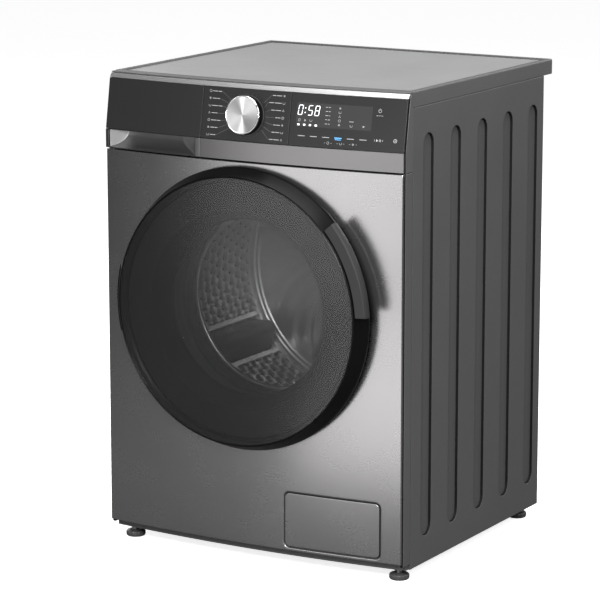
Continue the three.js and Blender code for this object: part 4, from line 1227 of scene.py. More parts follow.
@dataclass
class Base:
    """The moulded base tray and the four screw feet."""

    half: float = 296.0
    bottom: float = 21.8
    top: float = 36.6
    back: float = 531.8
    setback: float = 22.0

    def plan(self, inset: float) -> Array:
        """The base's outline from above, its front bulging with the panel."""
        xs = np.linspace(-self.half + inset, self.half - inset, 60)
        front = np.stack([xs, bow(xs) + self.setback + inset], 1)
        back = [(self.half - inset, self.back - inset), (-self.half + inset, self.back - inset)]
        return np.concatenate([front, back])

    def build(self) -> None:
        """Makes the tray, open on top, and its feet."""
        levels = [(self.bottom + 0.8, 0.0), (self.top - 0.6, 0.0), (self.top, 0.6), (self.top, 3.0),
                  (self.bottom + 5, 3.4), (self.bottom + 4, 6.0)]
        outline = [self.plan(inset) for _, inset in levels]
        rings = [np.column_stack([ring, np.full(len(ring), z)]) for ring, (z, _) in zip(outline, levels)]
        under = np.column_stack([self.plan(1.0), np.full(len(self.plan(1.0)), self.bottom)])
        surface = Surface().solid(np.stack([under, *rings]))
        surface.build("base_moulding", "cabinet", [Look.WORKTOP], ("base_tray",))
        for name in ("front_left", "front_right", "rear_left", "rear_right"):
            self.foot(name)

    def foot(self, name: str) -> None:
        """A screw foot: a ribbed pad, a threaded stem and a lock nut."""
        low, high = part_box(f"foot_{name}")
        x, y = (low.x + high.x) / 2 / MM, (low.y + high.y) / 2 / MM - FRONT_EDGE
        profile = fillet([(0, 0), (16, 0), (17.6, 2.5), (17.6, 8.4), (15.6, 10.4), (11.5, 11), (11, 11.9),
                          (0, 12)], 1.2, closed=False)
        pad = lathe_up(profile, x, y, 96)
        angle = np.linspace(0, TAU, 96, endpoint=False)[:, None]
        away = np.hypot(pad[..., 0] - x, pad[..., 1] - y)
        ribs = 1 - 0.035 * (np.cos(16 * angle) > 0.2) * smooth(away, 12, 16)
        pad[..., 0], pad[..., 1] = x + (pad[..., 0] - x) * ribs, y + (pad[..., 1] - y) * ribs
        Surface().grid(pad, wrap_u=True).build(
            f"foot_pad_{name}", f"foot_{name}", [Look.FOOT], (f"foot_{name}",))
        self.stem(name, x, y)
        corners = np.radians(30 + 60 * np.arange(6))
        hexagon = np.stack([x + 9.2 * np.cos(corners), y + 9.2 * np.sin(corners)], 1)
        nut = prism(resample(hexagon, 48), soft_levels(15.5, 21.4, 0.8), 2)
        Surface().solid(nut).build(f"foot_nut_{name}", f"foot_{name}", [Look.ZINC])

    def stem(self, name: str, x: float, y: float) -> None:
        """The thread: radius 4.9 + 0.45 (w - 0.5), w a triangle wave of turn minus height over pitch."""
        angle = np.linspace(0, TAU, 24, endpoint=False)[:, None]
        z = np.linspace(11, 60, 197)[None, :]
        wave = abs(((angle / TAU - z / 1.5) % 1) - 0.5) * 2
        radius = 4.9 + 0.45 * (wave - 0.5)
        points = np.stack([x + radius * np.cos(angle), y + radius * np.sin(angle), z + 0 * angle], -1)
        surface = Surface().grid(points, wrap_u=True).cap(points[:, 0]).cap(points[:, -1])
        surface.build(f"foot_stem_{name}", f"foot_{name}", [Look.ZINC])


@dataclass
class Worktop:
    """The worktop's frame, with its sloping front lip, and the glossy inlay."""

    skirt: float = 822.4
    lip_front: float = 21.5
    lip_under: float = 846.9
    rim: float = 10.0
    back: float = 566.0
    skirt_front: float = 32.2

    def outlines(self) -> tuple[Array, Array]:
        """The frame's outer and inner plan outlines, with matched points."""
        half, inside = HALF_WIDTH, HALF_WIDTH - self.rim
        xs = np.linspace(-half, half, 90)
        sides = np.concatenate([[self.skirt_front - 0.01, self.skirt_front], np.linspace(40, 552, 24),
                                np.linspace(556, self.back, 5)])
        outer = [np.stack([xs, bow(np.clip(xs, -298, 298)) + self.lip_front], 1)]
        inner = [np.stack([xs * inside / half, bow(xs * inside / half) + 42], 1)]
        outer.append(np.stack([np.full(len(sides), half), sides], 1))
        pocket = np.clip(sides, 42.5, self.back - self.rim)
        inner.append(np.stack([np.full(len(sides), inside), pocket], 1))
        back = np.linspace(half, -half, 24)[1:-1]
        outer.append(np.stack([back, np.full(len(back), self.back)], 1))
        inner.append(np.stack([back * inside / half, np.full(len(back), self.back - self.rim)], 1))
        outer.append(np.stack([np.full(len(sides), -half), sides[::-1]], 1))
        inner.append(np.stack([np.full(len(sides), -inside), pocket[::-1]], 1))
        return np.concatenate(outer), np.concatenate(inner)

    def frame(self) -> Array:
        """The frame: at each point of its outline, a section from its underside over its rim."""
        outer, inner = self.outlines()
        ahead = smooth(-outer[:, 1], -self.skirt_front, -self.skirt_front + 0.005)[:, None]
        inwards = inner - outer
        width = np.linalg.norm(inwards, axis=1, keepdims=True)
        inwards = inwards / width
        side = np.array([(4.5, self.skirt + 0.3), (0.7, self.skirt), (0, self.skirt + 0.7), (0, 846.6),
                         (0.3, 848.4), (1.2, 849.6), (2.8, HEIGHT), (8, HEIGHT), (9.4, HEIGHT),
                         (9.9, 849.5), (10, 840.5), (4.5, 839.5)])
        lip = np.array([(4.5, self.lip_under), (0.4, self.lip_under), (0, self.lip_under + 0.3), (0, 848.3),
                        (0.3, 848.65), (1.0, 848.8), (9.5, 849.4), (18.0, HEIGHT), (19.4, HEIGHT),
                        (19.9, 849.5), (20.5, 840.5), (12, 839.5)])
        rows = []
        for (at_side, z_side), (at_lip, z_lip) in zip(side, lip):
            reach = (1 - ahead) * at_side * width / self.rim + ahead * at_lip * width / 20.5
            z = (1 - ahead) * z_side + ahead * z_lip
            rows.append(np.concatenate([outer + inwards * reach, z], 1))
        return np.stack(rows)

    def inlay(self) -> Array:
        """The inlay's plan outline, half a millimetre inside the pocket, as rising rings."""
        _, inner = self.outlines()
        middle = np.array([0, (self.back + 30) / 2])
        rings = []
        for z, inset in ((840.8, 0.5), (846.3, 0.5), (846.7, 0.65), (846.95, 1.0), (847.0, 1.5)):
            ring = middle + (inner - middle) * (1 - inset / 270)
            rings.append(np.column_stack([ring, np.full(len(ring), z)]))
        return np.stack(rings)

    def build(self) -> None:
        """Makes the frame and the inlay."""
        Surface().grid(self.frame(), wrap_u=True, wrap_v=True).build(
            "worktop_rim", "cabinet", [Look.WORKTOP], ("worktop_frame",))
        Surface().solid(self.inlay()).build("worktop_panel", "cabinet", [Look.INLAY], ("worktop_inlay",))


@dataclass
class Rear:
    """The back sheet with its pressed service cover, water inlet, cord gland and transit caps."""

    half: float = 294.0
    bottom: float = 37.0
    top: float = 822.0
    face: float = 536.0
    cover_x: float = 180.0
    cover_z: tuple[float, float] = (275.0, 655.0)
    ribs: int = 5

    def sheet(self) -> Array:
        """The back sheet: flat, with two broad shallow pressings above the cover and two below."""
        xs, zs = np.linspace(-self.half, self.half, 120), np.linspace(self.bottom, self.top, 150)
        x, z = np.meshgrid(xs, zs, indexing="ij")
        dent = np.zeros_like(x)
        for low, high in ((70.0, 235.0), (690.0, 745.0)):
            for side in (-1, 1):
                across = abs(x - side * 140) - 105
                along = abs(z - (low + high) / 2) - (high - low) / 2
                dent += 1 - smooth(np.maximum(across, along), -5, 5)
        return np.stack([x, self.face - 2.4 * dent, z], -1)

    def cover(self) -> Array:
        """The cover: rings from its back, over its flat rim and up its pressed dome."""
        counts = (72, 72)

        def loop(inset: float) -> Array:
            return matched_loop((-self.cover_x + inset, self.cover_x - inset),
                                (self.cover_z[0] + inset, self.cover_z[1] - inset), 50 - 0.7 * inset, counts)

        steps = [(6, 536.2), (0.2, 536.2), (0, 536.6), (0, 537.9), (0.5, 538.3), (8, 538.3), (14, 538.3),
                 (16, 538.8), (22, 543.5), (27, 547.2), (30, 548), (34, 548)]
        rows = [lift(loop(inset), y) for inset, y in steps]
        middle = np.array([[0, sum(self.cover_z) / 2]])
        for share in np.linspace(0, 1, 40)[1:]:
            ring = loop(34) * (1 - share) + middle * share
            bar = np.zeros(len(ring))
            for k in range(self.ribs):
                z = middle[0, 1] + (k - (self.ribs - 1) / 2) * 54
                reach = np.maximum(abs(ring[:, 0]) - 118, 0)
                bar += 1 - smooth(np.hypot(reach, ring[:, 1] - z), 5, 12)
            rows.append(lift(ring, 548 + 2 * bar))
        return np.stack(rows)

    def build(self) -> None:
        """Makes the back of the machine."""
        sheet = Surface().grid(self.sheet()).build(
            "rear_sheet", "cabinet", [Look.SIDE_SHEET], ("rear_panel",), closed=False)
        thicken(sheet, 0.9)
        Surface().grid(self.cover(), wrap_v=True).build(
            "rear_cover_pressing", "cabinet", [Look.SIDE_SHEET], ("rear_service_cover",))
        middle = sum(self.cover_z) / 2
        places = [(x, middle + z) for x in (-172, 172) for z in (-120, 0, 120)]
        places += [(x, middle + z) for x in (-90, 90) for z in (-182, 182)]
        places += [(x, z) for x in (-284, 284) for z in (60, 300, 540, 800)]
        for number, (x, z) in enumerate(places):
            seat = 538.3 if number < 10 else self.face
            screw_head(x, seat, z).build(f"rear_screw_{number + 1}", "cabinet", [Look.ZINC])
        for number, (x, z) in enumerate(((-222, 262), (222, 262), (-222, 640), (222, 640))):
            profile = fillet([(0, 540.4), (15, 540.4), (18.5, 538.6), (18.5, 536), (0, 536)], 1.0,
                             closed=False)
            cap = Surface().grid(lathe(profile, x, z, 48), wrap_u=True)
            cap.build(f"transit_cap_{number + 1}", "cabinet", [Look.BLACK])
        self.inlet()
        gland = fillet([(0, 560), (8, 560), (8.6, 556), (13, 544), (15, 543.4), (15, 536), (0, 536)], 1.0,
                       closed=False)
        Surface().grid(lathe(gland, 225, 772, 48), wrap_u=True).build(
            "cord_gland_rubber", "cabinet", [Look.HOSE], ("cord_gland",))

    def inlet(self) -> None:
        """The threaded water inlet: radius 13.1 less 0.9 times a triangle wave of turn and depth."""
        angle = np.linspace(0, TAU, 64, endpoint=False)[:, None]
        y = np.linspace(541, 555, 90)[None, :]
        wave = abs(((angle / TAU - y / 1.8) % 1) - 0.5) * 2
        radius = 13.1 - 0.9 * wave * smooth(y, 541, 542) * smooth(-y, -555, -554)
        points = np.stack([-225 + radius * np.cos(angle), y + 0 * angle, 772 + radius * np.sin(angle)], -1)
        surface = Surface().grid(points, wrap_u=True)
        bore = np.array([(13.1, 555), (12.6, 555.9), (9.8, 555.9), (9.3, 555.2), (9.2, 546), (0, 546)])
        base = np.array([(13.1, 541), (17.5, 540.6), (18, 540), (18, 536.1), (0, 536.1)])
        surface.grid(lathe(bore, -225, 772, 64), wrap_u=True).grid(lathe(base, -225, 772, 64), wrap_u=True)
        surface.build("water_inlet_thread", "cabinet", [Look.WHITE], ("inlet_valve",))


# ------------ control panel


class Marks:
    """Thin prints and lamps that follow the fascia, gathered into one piece."""

    def __init__(self, raised: float = 0.14) -> None:
        """Starts with no marks.

        Args:
            raised: how far they stand off the fascia.
        """
        self.surface = Surface()
        self.raised = raised

    def levels(self, outlines: Array) -> Array:
        """Rows of points for outlines, each at a depth that alternates below and above the skin."""
        depth = np.array([0.3, -self.raised, -self.raised, 0.3])[:len(outlines), None]
        return lift(outlines, FASCIA.y(outlines[..., 0], outlines[..., 1]) + depth)

    def shape(self, outline: list[tuple[float, float]] | Array) -> "Marks":
        """Adds a filled outline."""
        flat = np.asarray(outline, float)
        self.surface.solid(self.levels(np.stack([flat, flat])))
        return self

    def bar(self, x0: float, x1: float, z0: float, z1: float, slant: float = 0.0) -> "Marks":
        """Adds a rectangle, leaning right by slant for each millimetre of height."""
        middle = (z0 + z1) / 2
        corners = [(x0, z0), (x1, z0), (x1, z1), (x0, z1)]
        return self.shape([(x + slant * (z - middle), z) for x, z in corners])

    def line(self, start: tuple[float, float], end: tuple[float, float], width: float = 0.5) -> "Marks":
        """Adds a straight stroke."""
        a, b = np.array(start, float), np.array(end, float)
        along = (b - a) / np.linalg.norm(b - a)
        across = np.array([-along[1], along[0]]) * width / 2
        return self.shape([a + across, b + across, b - across, a - across])

    def arc(self, x: float, z: float, radius: float, width: float = 0.6, start: float = 0.0,
            end: float = 360.0) -> "Marks":
        """Adds a ring, or part of one between two angles in degrees."""
        whole = end - start >= 360
        steps = max(6, int((end - start) / 12))
        far, near = (arc((x, z), radius + s * width / 2, start, end, steps)[:-1 if whole else None]
                     for s in (1, -1))
        rows = self.levels(np.stack([far, far, near, near]))
        self.surface.grid(rows, wrap_u=True, wrap_v=whole)
        if not whole:
            for edge in (rows[:, 0], rows[:, -1]):
                self.surface.cap(edge)
        return self

    def dot(self, x: float, z: float, radius: float) -> "Marks":
        """Adds a disc."""
        return self.shape(arc((x, z), radius, 0, 360, 16)[:-1])

    def digit(self, segments: str, x: float, z: float, width: float, height: float) -> "Marks":
        """Adds the lit segments of a slanted seven-segment digit.

        Args:
            segments: which of the segments a to g are lit.
            x: the digit's middle.
            z: the digit's middle.
            width: between its side segments' outer edges.
            height: between its top and bottom edges.

        Returns:
            These marks.
        """
        thick = 0.062 * height
        w, h = width / 2 - thick / 2, height / 2 - thick / 2
        ends = {"a": ((-w, h), (w, h)), "g": ((-w, 0), (w, 0)), "d": ((-w, -h), (w, -h)),
                "f": ((-w, 0), (-w, h)), "b": ((w, 0), (w, h)), "e": ((-w, -h), (-w, 0)),
                "c": ((w, -h), (w, 0))}
        for segment in segments:
            a, b = (np.array(end, float) for end in ends[segment])
            along = (b - a) / np.linalg.norm(b - a)
            across = np.array([-along[1], along[0]]) * thick / 2
            a, b = a + along * thick * 0.3, b - along * thick * 0.3
            tip = along * thick / 2
            points = np.array([a, a + tip + across, b - tip + across, b, b - tip - across, a + tip - across])
            points[:, 0] += 0.14 * points[:, 1]
            self.shape(points + np.array([x, z]))
        return self

    def build(self, name: str, look: Look) -> None:
        """Makes the piece."""
        self.surface.build(name, "cabinet", [look])


@dataclass
class ControlPanel:
    """The leaning fascia: gloss covers, trim, display, prints and the programme knob."""

    left: float = -91.1
    split: float = 84.0
    gap: float = 0.4
    right: float = 298.0
    knob_x: float = -1.0
    knob_z: float = 794.0
    rows: int = 7
    first_row: float = 831.0
    pitch: float = 12.3

    def build(self) -> None:
        """Makes the panel from its covers to its knob."""
        gloss_cover("fascia_cover", "cabinet", "control_fascia", (self.left, self.split - self.gap))
        gloss_cover("display_cover_gloss", "cabinet", "display_cover", (self.split + self.gap, self.right))
        proud = Skin(FASCIA.offset - 0.12, FASCIA.lean_from, FASCIA.lean)
        window = plate(proud, (96, 236), (783, 823), 1.5, 0.3, 0.1, rings=6)
        Surface().grid(window, wrap_v=True).build("display_window_pane", "cabinet", [Look.DISPLAY])
        self.trims()
        self.programme_prints()
        self.display_marks()
        self.key_marks()
        self.knob()

    def trims(self) -> None:
        """The brushed band under the fascia and the bright strip over it."""
        xs = np.linspace(self.left, self.right, 90)
        band = fillet([(-1.2, 716), (-1.2, 749.4), (8, 749.4), (8, 716)], 0.7, 3)
        Surface().solid(along_x(band, xs)).build("trim_band_metal", "cabinet", [Look.BAND], ("trim_band",))
        strip = fillet([(14.2, 838.9), (20.4, 846.3), (25, 846.3), (25, 838.9)], 0.6, 3)
        Surface().solid(along_x(strip, np.linspace(-298, 298, 120))).build(
            "bright_trim_strip", "cabinet", [Look.SILVER], ("silver_trim_strip",))

    def programme_prints(self) -> None:
        """Seven rows of small symbols and bars each side of the knob, with leader lines to it."""
        prints, leaders = Marks(), Marks(0.1)
        lengths = [(18, 15, 21, 12, 19, 14, 11), (18, 24, 19, 10, 13, 15, 19)]
        for side, row_lengths in zip((-1, 1), lengths):
            for row, length in enumerate(row_lengths):
                z = self.first_row - row * self.pitch
                symbol_x = self.knob_x + side * (75.5 if side < 0 else 71)
                self.symbol(prints, row + (side > 0), symbol_x, z)
                near = symbol_x - side * 4.5
                for start, end in ((0.0, 0.55), (0.62, 1.0)):
                    ends = sorted((near - side * length * start, near - side * length * end))
                    prints.bar(*ends, z - 0.5, z + 0.5)
                angle = math.atan2(0.9 * (z - self.knob_z) / 46, 1.0)
                rim = (self.knob_x + side * 39.5 * math.cos(angle), self.knob_z + 39.5 * math.sin(angle))
                leaders.line(rim, (near - side * (length + 2), z), 0.32)
        for tick in range(28):
            angle = TAU * tick / 28
            reach = [(self.knob_x + r * math.cos(angle), self.knob_z + r * math.sin(angle))
                     for r in (37.0, 38.2)]
            leaders.line(*reach, 0.4)
        prints.build("programme_prints", Look.PRINT)
        leaders.build("programme_leader_lines", Look.FAINT_PRINT)

    def symbol(self, marks: Marks, kind: int, x: float, z: float) -> None:
        """One small symbol out of four: a ring, crossed strokes, a tub or three drops."""
        if kind % 4 == 0:
            marks.arc(x, z, 2.0, 0.5)
        elif kind % 4 == 1:
            for angle in (0.4, 1.45, 2.5):
                reach = (2.1 * math.cos(angle), 2.1 * math.sin(angle))
                marks.line((x - reach[0], z - reach[1]), (x + reach[0], z + reach[1]), 0.45)
        elif kind % 4 == 2:
            marks.line((x - 2.2, z + 1.6), (x - 1.6, z - 1.6), 0.45)
            marks.line((x + 2.2, z + 1.6), (x + 1.6, z - 1.6), 0.45)
            marks.line((x - 1.6, z - 1.6), (x + 1.6, z - 1.6))
        else:
            marks.dot(x, z + 1.1, 0.7).dot(x - 1.2, z - 1.0, 0.6).dot(x + 1.2, z - 1.0, 0.6)

    def display_marks(self) -> None:
        """The lit display: a time, symbols under it, columns of dashes, and the power ring."""
        lit, dim = Marks(0.3), Marks(0.3)
        for segments, x in (("abcdef", 103.2), ("acdfg", 122.0), ("abcdefg", 134.8)):
            lit.digit(segments, x, 810.5, 8.6, 17)
        lit.bar(111.6, 113.4, 813.2, 815.0, 0.14).bar(111.0, 112.8, 805.6, 807.4, 0.14)
        for k, x in enumerate((101, 112, 123, 134)):
            lit.bar(x - 1.9, x + 1.9, 784.6, 787.4)
            if k < 3:
                self.symbol(dim, k, x + 1, 793.5)
        for row in range(5):
            z = 817.5 - 6.9 * row
            dim.bar(150.5, 154 + row % 3, z - 0.4, z + 0.4).bar(155.6 + row % 3, 159.5, z - 0.4, z + 0.4)
            self.symbol(dim, row + 1, 177, z - 0.5)
        dim.bar(195.5, 203.5, 795.6, 796.4)
        self.symbol(dim, 2, 199.5, 789)
        self.symbol(dim, 1, 222, 789)
        dim.arc(250, 817, 2.7, 0.6, 120, 420).line((250, 817.8), (250, 821), 0.6)
        for k in range(3):
            dim.bar(244 + 4.3 * k, 247.2 + 4.3 * k, 808.6, 809.2)
        lit.build("display_digits", Look.LAMP)
        dim.build("display_symbols", Look.PRINT)

    def key_marks(self) -> None:
        """The touch keys: six bars, one of them lit blue, marks under them, and the start mark."""
        dim, blue = Marks(), Marks(0.2)
        for k, x in enumerate(np.linspace(108, 223, 6)):
            row = blue if k == 3 else dim
            row.bar(x - 6.5, x + 6.5, 767.0, 768.4 if k == 3 else 768.0)
        blue.bar(171.5, 182.5, 764.4, 765.4)
        for x in (165 - 12, 165 + 11.5, 165 + 34.5):
            self.symbol(dim, int(x) % 3, x + 6, 758.5)
            dim.bar(x - 1, x + 0.8, 758.2, 758.8).bar(x + 11.2, x + 13, 758.2, 758.8)
        dim.shape([(247.0, 765.6), (250.4, 768), (247.0, 770.4)])
        dim.bar(252.2, 253.0, 765.8, 770.2).bar(254.4, 255.2, 765.8, 770.2)
        dim.bar(243.6, 244.2, 766.5, 769.5).bar(258.2, 258.8, 766.5, 769.5)
        dim.arc(281, 769, 2.8, 0.9, 0, 360).dot(281, 769, 0.9)
        dim.build("key_marks", Look.PRINT)
        blue.build("lit_key_bar", Look.BLUE_LAMP)

    def turned(self, profile: Array, segments: int = 160) -> Array:
        """A profile of radius and height turned about the knob's axis, square to the fascia."""
        tilt = math.atan(FASCIA.lean)
        foot = np.array([self.knob_x, float(FASCIA.y(self.knob_x, self.knob_z)), self.knob_z])
        axis = np.array([0, -math.cos(tilt), math.sin(tilt)])
        across, up = np.array([1.0, 0, 0]), np.array([0, math.sin(tilt), math.cos(tilt)])
        angle = np.linspace(0, TAU, segments + 1)[:, None, None]
        radius, height = profile[None, :, :1], profile[None, :, 1:]
        return foot + height * axis + radius * (np.cos(angle) * across + np.sin(angle) * up)

    def knob(self) -> None:
        """The knob: a black skirt, a plain side, a bright rim and a spun face."""
        skirt = np.array([(20, 0.7), (35.3, 0.7), (35.5, 1.0), (35.5, 2.2), (35.0, 2.6), (20, 2.6)])
        Surface().grid(self.turned(skirt)).build("knob_skirt", "knob", [Look.BLACK])
        side = np.array([(20, 2.7), (33.9, 2.7), (34.1, 3.2), (33.9, 12.6), (33.5, 13.2), (30, 13.2)])
        Surface().grid(self.turned(side)).build("knob_side", "knob", [Look.DOOR_BLACK])
        rim = fillet([(30, 12.9), (33.4, 12.9), (33.4, 14.6), (32.4, 16.0), (31.7, 16.0), (31.3, 15.4),
                      (30, 15.2)], 0.3, 3)
        Surface().grid(self.turned(rim), wrap_v=True).build("knob_rim", "knob", [Look.KNOB_RIM])
        reach = np.linspace(0, 31.4, 40)
        face = np.stack([reach, 15.4 - 0.5 * np.cos(reach / 31.4 * math.pi / 2)], 1)
        grid = self.turned(face)
        uv = np.stack(np.meshgrid(np.linspace(0, 1, 161), reach / 31.4, indexing="ij"), -1)
        Surface().grid(grid, uv=uv).build(
            "knob_face", "knob", [Look.KNOB], ("programme_knob",), closed=False)


# ------------ drawer


@dataclass
class Drawer:
    """The detergent drawer's gloss front and its metal grip with a finger scoop."""

    left: float = -298.0
    right: float = -91.9
    low: float = 716.0
    split: float = 749.6
    scoop_x: tuple[float, float] = (-291.0, -102.0)
    scoop_z: tuple[float, float] = (717.6, 748.9)
    depth: float = 37.0
    roof: float = 761.5

    def opening(self, out: float) -> Array:
        """The scoop's mouth, grown by a margin."""
        return matched_loop((self.scoop_x[0] - out, self.scoop_x[1] + out),
                            (self.scoop_z[0] - out, self.scoop_z[1] + out), 3.5 + out, (90, 22))

    def scoop(self) -> Array:
        """The scoop: loops whose floor rises as a quarter ellipse and whose ends slant inwards."""
        rows = []
        for share in np.linspace(0.04, 1, 22):
            floor = self.scoop_z[0] + 27 * (1 - math.sqrt(max(0.0, 1 - share**2)))
            roof = self.scoop_z[1] + (self.roof - self.scoop_z[1]) * float(smooth(share, 0.06, 0.3))
            ends = (self.scoop_x[0] + 19 * share, self.scoop_x[1] - 52 * share**1.4)
            loop = matched_loop(ends, (floor, roof), 3.2, (90, 22))
            rows.append(lift(loop, bow(loop[:, 0]) + 0.4 + self.depth * share))
        return np.stack(rows)

    def build(self) -> None:
        """Makes the gloss front, the grip and the scoop behind it."""
        gloss_cover("drawer_gloss_front", "drawer", "drawer_front", (self.left, self.right))
        corners = (self.left, self.right), (self.low, self.split)
        rows = []
        for inset, back in ((0, 9.0), (0, -0.4), (0.25, -0.95), (0.8, -1.2)):
            loop = matched_loop((corners[0][0] + inset, corners[0][1] - inset),
                                (corners[1][0] + inset, corners[1][1] - inset), 1.2, (90, 22))
            rows.append(lift(loop, bow(loop[:, 0]) + back))
        for out, back in ((0.5, -1.2), (0.2, -1.05), (0.0, -0.6), (0.0, 1.5), (0.3, 1.8), (0.4, 9.0)):
            rows.append(lift(self.opening(out), bow(self.opening(out)[:, 0]) + back))
        Surface().grid(np.stack(rows), wrap_u=True, wrap_v=True).build(
            "drawer_grip_frame", "drawer", [Look.BAND], ("drawer_front",))
        scoop = self.scoop()
        sides = 90 + 22 + 90
        # The left end wall takes slot 1, a paler copy of the scoop's metal: painted light.
        cheek = np.concatenate([scoop[:, sides:], scoop[:, :1]], 1)
        shell = Surface().grid(scoop[:, :sides + 1]).grid(cheek, slot=1).cap(scoop[-1])
        shell.build("drawer_finger_scoop", "drawer", [Look.SCOOP, Look.PAINTED_LIT_CHEEK])


# ------------ door


@dataclass
class Door:
    """The round door: black ring, smoked glass, inner funnel, clear bowl and grip."""

    glass_radius: float = 233.4
    front: float = -66.0
    crown: float = 7.0

    def clear_of_hinge(self, points: Array) -> Array:
        """Presses a grid's points out of the hinge's pocket, towards the glass."""
        pocket = (points[..., 0] < -196) & (abs(points[..., 2] - AXIS_Z) < 60)
        points[..., 1] = np.where(pocket, np.minimum(points[..., 1], -44.3), points[..., 1])
        return points

    def crowned(self, radius: Array) -> Array:
        """The glass's front: y = front + crown * (r / glass radius) squared."""
        return self.front + self.crown * (radius / self.glass_radius) ** 2

    def build(self) -> None:
        """Makes the door's pieces."""
        ring = fillet([(227, -54), (227, -52.8), (234, -54.6), (234, -58.6), (236, -59.4), (247.5, -32),
                       (248.5, -27), (247.5, -23), (244, -20.4), (214, -20.4), (214, -26), (224, -30),
                       (222, -50)], 1.6, 4)
        grid = self.clear_of_hinge(lathe(ring, 0, AXIS_Z, 288))
        Surface().grid(grid, wrap_u=True, wrap_v=True).build(
            "door_outer_ring", "door", [Look.DOOR_BLACK], ("door_ring",))
        reach = np.linspace(0, self.glass_radius - 0.9, 40)
        front = np.stack([reach, self.crowned(reach)], 1)
        edge_y = float(self.crowned(np.array(self.glass_radius)))
        edge = arc((self.glass_radius - 0.9, edge_y + 0.9), 0.9, -75, 90, 6)
        back = np.stack([reach[::-1], self.crowned(reach[::-1]) + 4], 1)
        profile = np.concatenate([front, edge[edge[:, 1] < edge_y + 3.8], back])
        Surface().grid(lathe(profile, 0, AXIS_Z, 256), wrap_u=True).build(
            "door_smoked_glass", "door", [Look.SMOKED], ("door_glass",))
        self.inner()
        self.bowl()
        self.grip()

    def inner(self) -> None:
        """The funnel behind the glass and the ring that clamps the bowl."""
        section = fillet([(221.2, -49.3), (174, -49.3), (155.5, -12.5), (169, -12.5), (169, -6.1),
                          (154, -6.1), (154, -2.5), (172, -2.5), (206, -9), (206, -17.5), (212.8, -18.5),
                          (212.8, -26), (203, -22.5), (176, -18), (181, -46.3), (221.2, -46.3)], 1.4, 3)
        grid = self.clear_of_hinge(lathe(section, 0, AXIS_Z, 224))
        Surface().grid(grid, wrap_u=True, wrap_v=True).build(
            "door_funnel", "door", [Look.FUNNEL], ("door_inner_ring",))

    def bowl(self) -> None:
        """The clear bowl: its section inside and out, with soft corners."""
        outer = fillet([(167.4, -12.1), (167.4, -6.6), (152, -6.5), (149, 0), (128, 92), (104, 105),
                        (0, 105)], 9.0, 7, closed=False)
        inner = fillet([(0, 100.5), (101, 100.5), (123.6, 88), (144, 0), (148, -12.1)], 9.0, 7, closed=False)
        profile = np.concatenate([outer, inner])
        Surface().grid(lathe(profile, 0, AXIS_Z, 192), wrap_u=True).build(
            "door_clear_bowl", "door", [Look.BOWL], ("door_bowl",))

    def grip(self) -> None:
        """The grip at the ring's right: a section swept round, drawn in at both ends."""
        section = fillet([(237.8, -58.2), (256.8, -58.2), (260.8, -54), (260.8, -46.2), (256.8, -40.2),
                          (245.8, -38.8)], 1.6, 4)
        middle = section.mean(0)
        share = np.linspace(0, 1, 97)
        draw = 1 - 0.035 * (1 - smooth(np.minimum(share, 1 - share), 0, 0.012))
        rows = middle + (section[None] - middle) * draw[:, None, None]
        angle = np.radians(3.5 + 38 * share)[:, None]
        points = np.stack([rows[..., 0] * np.cos(angle), rows[..., 1], AXIS_Z + rows[..., 0] * np.sin(angle)],
                          -1)
        Surface().solid(points).build("door_grip", "door", [Look.GRIP], ("door_handle",))


# ------------ drum


